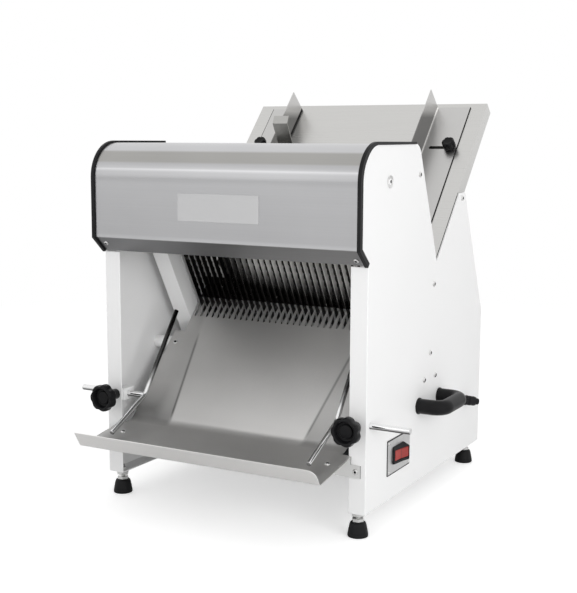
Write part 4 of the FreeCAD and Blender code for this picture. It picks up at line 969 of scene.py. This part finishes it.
def tray_rows():
    """Points of the profile, each with the sheet's half width there."""
    rows = []
    lip = rounded_path([LIP_TOP, LIP_FOLD, SHELF_MIDDLE], 3, 4)
    down = (Vector(LIP_FOLD) - Vector(LIP_TOP)).normalized()
    for reach in (0, 0.7, 2, 4, 7, 11):
        half = SHELF_HALF - LIP_ROUND + sqrt(LIP_ROUND ** 2 - (LIP_ROUND - reach) ** 2)
        rows.append((Vector(LIP_TOP) + down * reach, half))
    rows += [(point, SHELF_HALF) for point in lip[1:]]
    bend = rounded_path([SHELF_MIDDLE, TRAY_BEND, tuple(COMB_FOOT)], 28, 10)[1:-1]
    shelf_end = Vector(SHELF_MIDDLE) + Vector((0, 1, tan(radians(SHELF_SLOPE)))) * 28
    rows.append((shelf_end, SHELF_HALF))
    rows += [(point, TRAY_HALF) for point in bend if point.y > -1.5]
    rows += [(COMB_FOOT - Vector((0, reach, reach)), TRAY_HALF) for reach in (120, 80, 40, 24)]
    return rows


def clamped(value):
    return min(max(value, 0), 1)


def wing_rise(x, y):
    """The steep part's wings stand up a little beyond their creases."""
    over = max(abs(x) - crease_reach(y), 0)
    return over * WING_SLOPE * clamped((y - 20) / 20) * clamped((172 - y) / 30)


def row_columns(point, half):
    """Places across a row, with their rise: rim, fold, comb's neck, crease of the wing, flat."""
    # the shelf widens from the lip's fold, where share is 0, to the bend, where it is 1
    share = clamped((point.y - LIP_FOLD[1]) / SHELF_LENGTH)
    inner = crease_reach(max(point.y, 0))
    columns = [(inner - 3, 0), (inner, 0)]
    columns += [(x, wing_rise(x, point.y)) for x in (COMB_NECK, 194 + 12 * share)]
    left = [(-x, z) for x, z in reversed(columns)]
    if point.y < 0:
        fold = 203 + 12.5 * share
        drop = -RIM_DROP * min(share * 4, 1) * (1 - 0.5 * share)
        left = [(-SHELF_HALF, drop), (-fold, 0)] + left
        columns += [(min(fold, half - 0.5), 0), (half, drop)]
    return left + [(-60, 0), (0, 0), (60, 0)] + columns


def comb_cell(form, middle):
    """A slot with half a finger on each side."""
    half = COMB_PITCH / 2
    outline = [(-half, 0), (half, 0), (half, COMB_LENGTH), (half - 0.5, COMB_LENGTH)]
    outline += [(half - 0.9, COMB_LENGTH - 1.2)]
    for index in range(9):
        angle = pi * index / 8
        outline.append((2.0 * cos(angle), 5.0 - 2.0 * sin(angle)))
    outline += [(-half + 0.9, COMB_LENGTH - 1.2), (-half + 0.5, COMB_LENGTH), (-half, COMB_LENGTH)]
    corners = []
    for x, along in outline:
        rise = along * sqrt(0.5)
        corners.append(floor_place(middle + x, COMB_FOOT.y + rise, COMB_FOOT.z + rise))
    form.faces.new([form.verts.new(corner) for corner in corners])


def walled(name, form, wall):
    """Give an open sheet its wall, below the side that its faces look to."""
    mesh = bpy.data.meshes.new(name)
    form.to_mesh(mesh)
    form.free()
    holder = new_object(name, mesh)
    sheet = holder.modifiers.new("wall", "SOLIDIFY")
    sheet.thickness = wall / 1000
    sheet.offset = -1
    sheet.use_even_offset = True
    return baked(holder)


def receiving_tray():
    form = bmesh.new()
    rows = tray_rows()
    lines = []
    for point, half in rows:
        spots = [floor_place(x, point.y, point.z + z) for x, z in row_columns(point, half)]
        lines.append([form.verts.new(spot) for spot in spots])
    for low, high in zip(lines, lines[1:]):
        if len(low) > len(high):
            low = low[2:-2]
        for index in range(len(low) - 1):
            form.faces.new((low[index], low[index + 1], high[index + 1], high[index]))
    last = lines[-1][1:-1]
    middles = [COMB_PITCH * (index - (COMB_SLOTS - 1) / 2) for index in range(COMB_SLOTS)]
    half = COMB_PITCH / 2
    feet_x = [-COMB_NECK, middles[0] - half, *(middle + half for middle in middles), COMB_NECK]
    foot = [form.verts.new(floor_place(x, COMB_FOOT.y, COMB_FOOT.z)) for x in feet_x]
    form.faces.new(last + list(reversed(foot)))
    for middle in middles:
        comb_cell(form, middle)
    bmesh.ops.remove_doubles(form, verts=form.verts, dist=1e-6)
    mesh = walled("folded_tray", form, TRAY_WALL)
    return settle("folded_tray", mesh, "housing", tray_steel, "receiving_tray", 30)


receiving_tray()
print(f"tray with {COMB_SLOTS} slots")

# %% [markdown]
# ## Folded sheets and fine edges
#
# Sheet metal has rounded folds, and paint and deburring leave no edge sharp. The loop takes
# CAD sheets and bars, joins their triangles into plain faces and rounds the edges: the large
# folds by their bend, the rest by a few tenths of a millimetre.

# %% Folded sheets
# body, finish, slot, fine edge in mm, bend in mm, nodes
SHEETS = [
    ("housing", panel_white, "panel_paint", 0.35, 4.5, "side_panel_left side_panel_right"),
    ("housing", hood_steel, "hood_steel", 0.3, 0, "hood"),
    ("housing", plate_grey, "plate_grey", 0.25, 0, "blank_name_plate"),
    ("housing", chute_bed, "chute_steel", 0.3, 1.6, "feed_chute"),
    ("housing", bracket_steel, "machined_steel", 0.4, 0, "tray_brackets"),
    ("housing", frame_white, "frame_white", 0.8, 0, "tray_bosses"),
    ("housing", frame_white, "frame_white", 0.6, 0, "blade_guide_left blade_guide_right"),
    ("housing", frame_white, "frame_white", 0.5, 0, "rod_clamp_blocks"),
    ("blades_front_frame", frame_white, "frame_white", 0.5, 0, "blade_frame_front"),
    ("blades_rear_frame", frame_white, "frame_white", 0.5, 0, "blade_frame_rear"),
    ("housing", switch_steel, "machined_steel", 0.2, 0, "switch_plate"),
    ("pusher", chute_steel, "chute_steel", 0.3, 0, "pusher_plate"),
    ("pusher", grip_steel, "grip_steel", 0.4, 0, "pusher_grip"),
    ("fence_left", fence_steel, "chute_steel", 0.25, 0, "loaf_guide_left"),
    ("fence_right", fence_steel, "chute_steel", 0.25, 0, "loaf_guide_right"),
]
for body, finish, slot, fine, bend, group in SHEETS:
    for node in group.split():
        finished(f"folded_{node}", softened(node, fine, bend), body, finish, node, 28)
print(f"{len(SHEETS)} kinds of sheets and bars with rounded edges")

# %% [markdown]
# ## Edge trims
#
# A rubber profile is pushed over the panels' edge: a U whose legs grip the sheet. It is swept
# from the chin over the face and the rounded corner to the tower's top, where its legs get
# shorter.


# %% Edge trims
TRIM_PROUD = 3.0
TRIM_LAP = 6.0
TOWER_CORNER = Vector((0, 27, 551))
TOWER_ROUND = 58
TOWER_TOP = 609
CHIN_TRIM = 37


def trim_stations():
    """Along the panel's edge: a place, the way outwards and the depth of the legs."""
    chin = tipped(CHIN_SLOPE - 90)
    front = tipped(0)
    corner = Vector((0, *CHIN_FOLD))
    middle = (chin + front).normalized()
    stations = [(corner - tipped(CHIN_SLOPE) * CHIN_TRIM, chin, TRIM_LAP)]
    stations.append((corner, middle / middle.dot(front), TRIM_LAP))
    for index in range(17):
        out = tipped(90 * index / 16)
        lap = TRIM_LAP - 4.0 * max(index / 8 - 1, 0)
        stations.append((TOWER_CORNER + out * TOWER_ROUND, out, lap))
    for y, lap in ((70, 1.8), (176, 1.0)):
        stations.append((Vector((0, y, TOWER_TOP)), tipped(90), lap))
    return stations


for name, side in SIDES.items():
    form = bmesh.new()
    rings = []
    for spot, way, lap in trim_stations():
        depth = TRIM_PROUD + lap
        section = [
            (0, -3.4), (0, 1.4), (0.6, 2), (depth - 0.5, 2), (depth, 1.5), (depth, 0), (TRIM_PROUD, 0),
            (TRIM_PROUD, -2), (depth, -2), (depth, -3.5), (depth - 0.5, -4), (0.6, -4),
        ]
        rings.append([
            (side * (HALF_WIDTH + x), *(spot + way * (TRIM_PROUD - inward)).yz) for inward, x in section
        ])
    rings_solid(form, rings, floor_place)
    node = f"edge_trim_{name}"
    finished(f"rubber_trim_{name}", form, "housing", edge_rubber, node, 30)
print("two edge trims")

# %% [markdown]
# ## Knobs and feet
#
# The knobs are moulded: shallow notches between their lobes and a rounded rim. The large
# ones have a long hub behind and a recess with a raised middle. The feet are turned rubber
# cones under nuts and a thread.

# %% Knobs
KNOB_AXIS = (229, 178.5)
KNOB_BACK = -26
LOAF_KNOB_X = 200
# radius, height over the back of the star, depth of the notches
FRONT_KNOB = [
    (8.2, -25.7, 0), (9.0, -24.9, 0), (9.4, -4, 0), (11.5, -1.0, 0), (17.5, 0.1, 0.8),
    (21.6, 1.0, 2.0), (23.0, 2.8, 2.2), (23.5, 5.6, 2.4), (23.5, 12, 2.4), (23.0, 14.8, 2.2),
    (21.8, 16.9, 1.7), (20.0, 17.9, 1.2), (18.0, 17.6, 0.7), (16.6, 16.2, 0.3), (15.6, 12.5, 0.1),
    (14.6, 8.6, 0), (11.6, 8.2, 0), (11.0, 10.4, 0), (10.2, 11.0, 0), (4.0, 11.2, 0),
]
LOAF_KNOB = [
    (6.4, 2.1, 0), (7.0, 2.6, 0), (7.2, 4.2, 0), (10.5, 4.8, 0.9), (12.0, 6.2, 1.9), (12.5, 8.5, 2.2),
    (12.5, 14, 2.2), (11.9, 17.4, 2.0), (10.4, 19.4, 1.3), (8.2, 20.0, 0.5), (6.6, 19.2, 0.1),
    (3.0, 19.0, 0),
]


def star_knob(piece, node, body, profile, lobes, place, turn=0.0):
    """A moulded knob that rides on its own body."""
    form = bmesh.new()
    rings = [circle(r, h, lobes * 12, lobes, notch, turn) for r, h, notch in profile]
    rings_solid(form, rings, place)
    finished(piece, form, body, knob_plastic, node, 50)


for name, side in SIDES.items():

    def front_place(a, b, h, x=side * KNOB_AXIS[0]):
        return floor_place(x + a, KNOB_BACK - h, KNOB_AXIS[1] + b)

    names = (f"star_knob_{name}", f"front_knob_{name}", f"knob_front_{name}")
    star_knob(*names, FRONT_KNOB, 7, front_place, 0.45 * side)

for name, side in SIDES.items():

    def loaf_place(a, b, h, x=side * LOAF_KNOB_X):
        return chute_place(x + a, STUD_TRACK + b, h)

    names = (f"small_knob_{name}", f"loaf_knob_{name}", f"knob_loaf_{name}")
    star_knob(*names, LOAF_KNOB, 6, loaf_place)
print("four star knobs")

# %% Feet
FOOT_PLACES = [(x, y) for x in (-228, 228) for y in (14, 490)]
FOOT = [
    (14.6, 0), (16.0, 0.5), (16.5, 1.8), (16.3, 5), (15.2, 11), (13.9, 17.5), (13.1, 20.8),
    (12.2, 22.8), (10.8, 23.8), (9.0, 24.0),
]
# lower end, upper end, width across the flats
NUTS = [(24.0, 29.4, 17), (33.2, 39.0, 19), (41.0, 46.0, 13)]
THREAD_TURNS = 20
THREAD = []
for index in range(THREAD_TURNS):
    low = 24.5 + 27 * index / THREAD_TURNS
    THREAD += [(3.5, low), (4.0, low + 0.55)]
pads = bmesh.new()
bolts = bmesh.new()
for x, y in FOOT_PLACES:

    def foot_place(a, b, h, x=x, y=y):
        return floor_place(x + a, y + b, h)

    lathe(pads, FOOT, foot_place, 48)
    for low, high, across in NUTS:
        profile = [(across - 1.2, low), (across, low + 0.6), (across, high - 0.6), (across - 1.2, high)]
        prism(bolts, profile, foot_place)
    lathe(bolts, THREAD, foot_place, 20)
finished("rubber_feet", pads, "housing", foot_rubber, "foot_pads", 60)
finished("foot_threads", bolts, "housing", zinc, "foot_bolts", 30)
print(f"{len(FOOT_PLACES)} feet")

# %% [markdown]
# ## Rods and handles
#
# A bent rod is a circle swept along straight runs and arcs. The same tool makes the bread
# guides of bright rod and the rubber-coated carrying handles.

# %% Rods and handles
GUIDE_X = {"left": -180, "right": 188}
GUIDE_FRONT = (-77.5, 133)
GUIDE_REAR = (114.7, 313)
ROD_AXIS = (16, 178.5)
ROD_END = 313
HANDLE_REACH = 289.95
HANDLE_PLACES = (209, 302)
HANDLE_Z = 170
COLLAR = [(13.6, 0), (14.0, 0.5), (14.0, 2.4), (13.4, 3.2), (12.9, 3.4)]
for name, side in SIDES.items():
    x = GUIDE_X[name]
    form = bmesh.new()
    corners = [on_floor(x, *spot) for spot in (GUIDE_FRONT, ROD_AXIS, GUIDE_REAR)]
    tube(form, rounded_path(corners, 24, 10), 4, 0.9, 20)
    tube(form, [on_floor(x, *ROD_AXIS), on_floor(side * ROD_END, *ROD_AXIS)], 5, 0.9, 24)
    node = f"bread_guide_{name}"
    finished(f"bent_rod_{name}", form, f"guide_{name}", bright_rod, node, 40)

    form = bmesh.new()
    near, far = HANDLE_PLACES
    path = [(HALF_WIDTH, near), (HANDLE_REACH, near), (HANDLE_REACH, far), (HALF_WIDTH, far)]
    corners = [on_floor(side * x, y, HANDLE_Z) for x, y in path]
    tube(form, rounded_path(corners, 20, 10), 12.75, 0.8, 36)
    for y in HANDLE_PLACES:
        lathe(form, COLLAR, beside(side, y, HANDLE_Z), 36)
    node = f"carry_handle_{name}"
    finished(f"coated_handle_{name}", form, "housing", tube_black, node, 40)
print("rods and handles")

# %% [markdown]
# ## Switch and gland
#
# The switch's collar is a box with a well in it, and its rim climbs to the rear. The rocker
# lies in the well; its cap is folded along the middle. The gland is a nut, a ribbed ring and
# a dome with a hole for the cord.


# %% Switch and gland
switch_place = beside(1, *SWITCH_MIDDLE, SWITCH_PLATE_FACE)


def switch_ring(half, low, high, cut, heights):
    """A rectangle with cut corners, whose three heights follow the slope of the rocker."""
    outline = [
        (half, high - cut), (half - cut, high), (0, high), (cut - half, high), (-half, high - cut),
        (-half, low + cut), (cut - half, low), (0, low), (half - cut, low), (half, low + cut),
    ]
    front, centre, rear = heights
    ring = []
    for a, b in outline:
        end = rear if a > 0 else front
        ring.append((a, b, centre + (end - centre) * abs(a) / half))
    return ring


# half length, lower and upper edge, cut of the corners, heights at front, middle and rear
COLLAR_RINGS = [
    (22.0, -13.5, 15.5, 1.6, (0, 0, 0)),
    (22.0, -13.5, 15.5, 1.6, (0.8, 1.2, 1.6)),
    (21.4, -12.8, 11.4, 1.2, (3.3, 6.0, 10.9)),
    (20.8, -12.2, 10.8, 1.0, (3.9, 6.6, 11.6)),
    (20.0, -8.4, 9.8, 0.6, (3.9, 6.6, 11.6)),
    (19.6, -8.0, 9.5, 0.6, (3.2, 5.9, 10.8)),
    (19.6, -8.0, 9.5, 0.6, grey(0.3)),
]
ROCKER_RINGS = [
    (18.0, -7.6, 9.1, 0.3, (3.4, 1.5, 1.2)),
    (19.2, -7.6, 9.1, 0.3, (3.6, 5.2, 10.0)),
    (18.6, -7.0, 8.5, 0.3, (4.2, 5.6, 10.7)),
]
form = bmesh.new()
rings_solid(form, [switch_ring(*ring) for ring in COLLAR_RINGS], switch_place)
finished("switch_collar", form, "housing", housing_plastic, "switch_housing", 30)

form = bmesh.new()
rings_solid(form, [switch_ring(*ring) for ring in ROCKER_RINGS], switch_place)
form.faces.ensure_lookup_table()
cap = form.faces[-1]
bmesh.utils.face_split(cap, cap.verts[2], cap.verts[7])
finished("switch_rocker_cap", form, "rocker", rocker_red, "switch_rocker", 12)

GLAND_MIDDLE = (437, 134)
gland_place = beside(1, *GLAND_MIDDLE)
form = bmesh.new()
prism(form, [(16.4, 0), (17, 0.5), (17, 4.0), (16, 4.6)], gland_place)
ribs = [(8.2, 4.6, 0.4), (9.0, 5.4, 0.9), (9.0, 11.6, 0.9), (8.2, 12.4, 0.4)]
rings_solid(form, [circle(r, h, 96, 12, notch) for r, h, notch in ribs], gland_place)
dome = [
    (7.2, 12.0), (7.2, 13.0), (8.7, 13.8), (8.9, 16), (8.4, 19), (7.2, 21.6), (5.9, 22.8),
    (5.6, 25.8), (5.2, 27.0), (4.5, 27.0), (4.4, 21),
]
lathe(form, dome, gland_place, 36)
finished("ribbed_gland", form, "housing", housing_plastic, "cable_gland", 35)
print("switch and gland")

# %% [markdown]
# ## Screws
#
# Each CAD screw gives a place and a side. Domed heads are scattered on those places, each with a black
# hexagon in its middle as painted shade in the socket. The small screws of the tray, the chin and the
# switch plate have no CAD solid, so their places are listed.


# %% Screw tools
def loose_boxes(node):
    """The two corners of each separate solid's box."""
    form = bmesh.new()
    form.from_mesh(nodes[node].data)
    bmesh.ops.remove_doubles(form, verts=form.verts, dist=1e-6)
    todo = set(form.verts)
    boxes = []
    while todo:
        island = {todo.pop()}
        edge_of = set(island)
        while edge_of:
            near = {edge.other_vert(v) for v in edge_of for edge in v.link_edges} - island
            island |= near
            edge_of = near
        todo -= island
        corners = [v.co for v in island]
        low = Vector(tuple(min(c[i] for c in corners) for i in range(3)))
        high = Vector(tuple(max(c[i] for c in corners) for i in range(3)))
        boxes.append((low, high))
    form.free()
    return sorted(boxes, key=lambda box: tuple(box[0]))


def panel_spots(node):
    """Seats on the outer faces of the panels."""
    spots = []
    for low, high in loose_boxes(node):
        side = 1 if low.x + high.x > 0 else -1
        seat = Vector((side * HALF_WIDTH / 1000, (low.y + high.y) / 2, (low.z + high.z) / 2))
        spots.append((seat, Vector((side, 0, 0))))
    return spots


def local(x, y, z):
    return Vector((x, y, z)) / 1000


def button_head(radius, height, socket):
    """A domed head with a round hole for its socket, about its own axis."""
    form = bmesh.new()
    dome = [
        (radius * 0.96, 0.02), (radius, 0.25), (radius * 0.94, height * 0.55),
        (radius * 0.72, height * 0.9), (socket * 1.18, height), (socket * 1.02, height * 0.9),
        (socket * 0.98, height * 0.4),
    ]
    lathe(form, dome, local, 36)
    return form


# a black hexagon standing in the socket: painted shade in its recess
def socket_shadow_plug(socket, height):
    form = bmesh.new()
    prism(form, [(socket * 1.8, height * 0.42), (socket * 1.8, height * 0.97)], local)
    return form


def scatter_piece(name, form, spots, material, stands_for=None):
    """One piece of the housing, made of copies of a part."""
    copies = scattered(name, form, spots, material)
    settle(name, copies, "housing", material, stands_for, 30)


# black for the painted shade inside the sockets
socket_shadow_black = moulded("socket black", (0.010, 0.010, 0.011), 0.6)


def fit_screws(name, spots, radius, height, socket, stands_for=None, material=zinc):
    """Heads and the black plugs that paint the shade inside their sockets, as two pieces."""
    head = button_head(radius, height, socket)
    scatter_piece(f"{name}_heads", head, spots, material, stands_for)
    shadow_plug = socket_shadow_plug(socket, height)
    scatter_piece(f"{name}_sockets", shadow_plug, spots, socket_shadow_black)


print("tools for screws")

# %% Screws on the panels
fit_screws("panel_screw", panel_spots("panel_screws"), 4.8, 2.3, 2.5, "panel_screws")

RING_CUP = [
    (9.6, 0.02), (10.0, 0.4), (10.0, 1.5), (9.4, 2.1), (8.6, 1.9), (7.8, 0.9), (5.4, 0.7), (5.2, 0.3),
]
ring_spots = panel_spots("ring_screws")
cup = bmesh.new()
lathe(cup, RING_CUP, local, 48)
scatter_piece("ring_cups", cup, ring_spots, zinc, "ring_screws")
raised = [(seat + way * 0.0004, way) for seat, way in ring_spots]
fit_screws("ring_screw", raised, 5.2, 1.9, 2.9, None, frame_white)
print(f"{len(ring_spots)} ringed screws")

# %% Screws on the tray, hood and plate
steep_way = tipped(45)
shelf_way = tipped(90 - SHELF_SLOPE)
TRAY_SCREWS = [
    (-194, 131, 252, steep_way), (194, 131, 252, steep_way),
    (-184, -40, 125.7, shelf_way), (201, -40, 125.7, shelf_way),
]
tray_spots = [(floor_place(x, y, z), way) for x, y, z, way in TRAY_SCREWS]
fit_screws("tray_screw", tray_spots, 4.9, 2.4, 2.4)

CHIN_SCREWS = [(-230, -19, 441), (232, -13, 435)]
hood = bpy.data.objects["folded_hood"]
chin_way = tipped(CHIN_SLOPE - 90)
chin_spots = []
for spot in CHIN_SCREWS:
    seat = hood.ray_cast(floor_place(*spot) + chin_way * 0.05, -chin_way)[1]
    chin_spots.append((seat, chin_way))
fit_screws("chin_screw", chin_spots, 4.4, 2.2, 2.3)

bracket_spots = []
for low, high in loose_boxes("bracket_screws"):
    seat = Vector(((low.x + high.x) / 2, high.y, (low.z + high.z) / 2))
    bracket_spots.append((seat, Vector((0, -1, 0))))
fit_screws("bracket_screw", bracket_spots, 4.8, 2.2, 1.9, "bracket_screws")

PLATE_RIVETS = [(y, z) for y in (85.5, 165.5) for z in (85.5, 133)]
RIVET = [(2.3, 0.02), (2.4, 0.2), (2.1, 0.8), (1.3, 1.2), (0.3, 1.35)]
rivet = bmesh.new()
lathe(rivet, RIVET, local, 20)
rivet_x = HALF_WIDTH + SWITCH_PLATE_FACE
rivet_spots = [(floor_place(rivet_x, y, z), Vector((1, 0, 0))) for y, z in PLATE_RIVETS]
scatter_piece("plate_rivets", rivet, rivet_spots, zinc)
print("screws and rivets")

# %% [markdown]
# ## Floor
#
# The floor is a large pale sheet. It looks brighter to the camera than it lights the machine,
# takes a soft shadow, and fades into the white backdrop further off.

# %% Floor
bpy.ops.mesh.primitive_plane_add(size=14)
floor = bpy.context.object
floor.name = "floor"
paint = Finish("floor white", grey(0.90), 0.7)
seen = Number(paint.tree, paint.node("ShaderNodeLightPath").outputs["Is Camera Ray"])
distance = paint.node("ShaderNodeVectorMath", {"operation": "LENGTH"}, Vector=paint.place())
far = Number(paint.tree, distance.outputs["Value"]).above(1.5, 1.8)
paint.set("Emission Color", paint.blend(seen, BLACK, grey(0.5)))
paint.set("Emission Strength", 1.0)
white = paint.node("ShaderNodeEmission")
mix = paint.node("ShaderNodeMixShader", Fac=seen * far)
paint.fill(mix.inputs[1], paint.shader.outputs[0])
paint.fill(mix.inputs[2], white.outputs[0])
paint.fill(paint.tree.nodes["Material Output"].inputs["Surface"], mix.outputs[0])
floor.data.materials.append(paint.material)
print("floor in place")
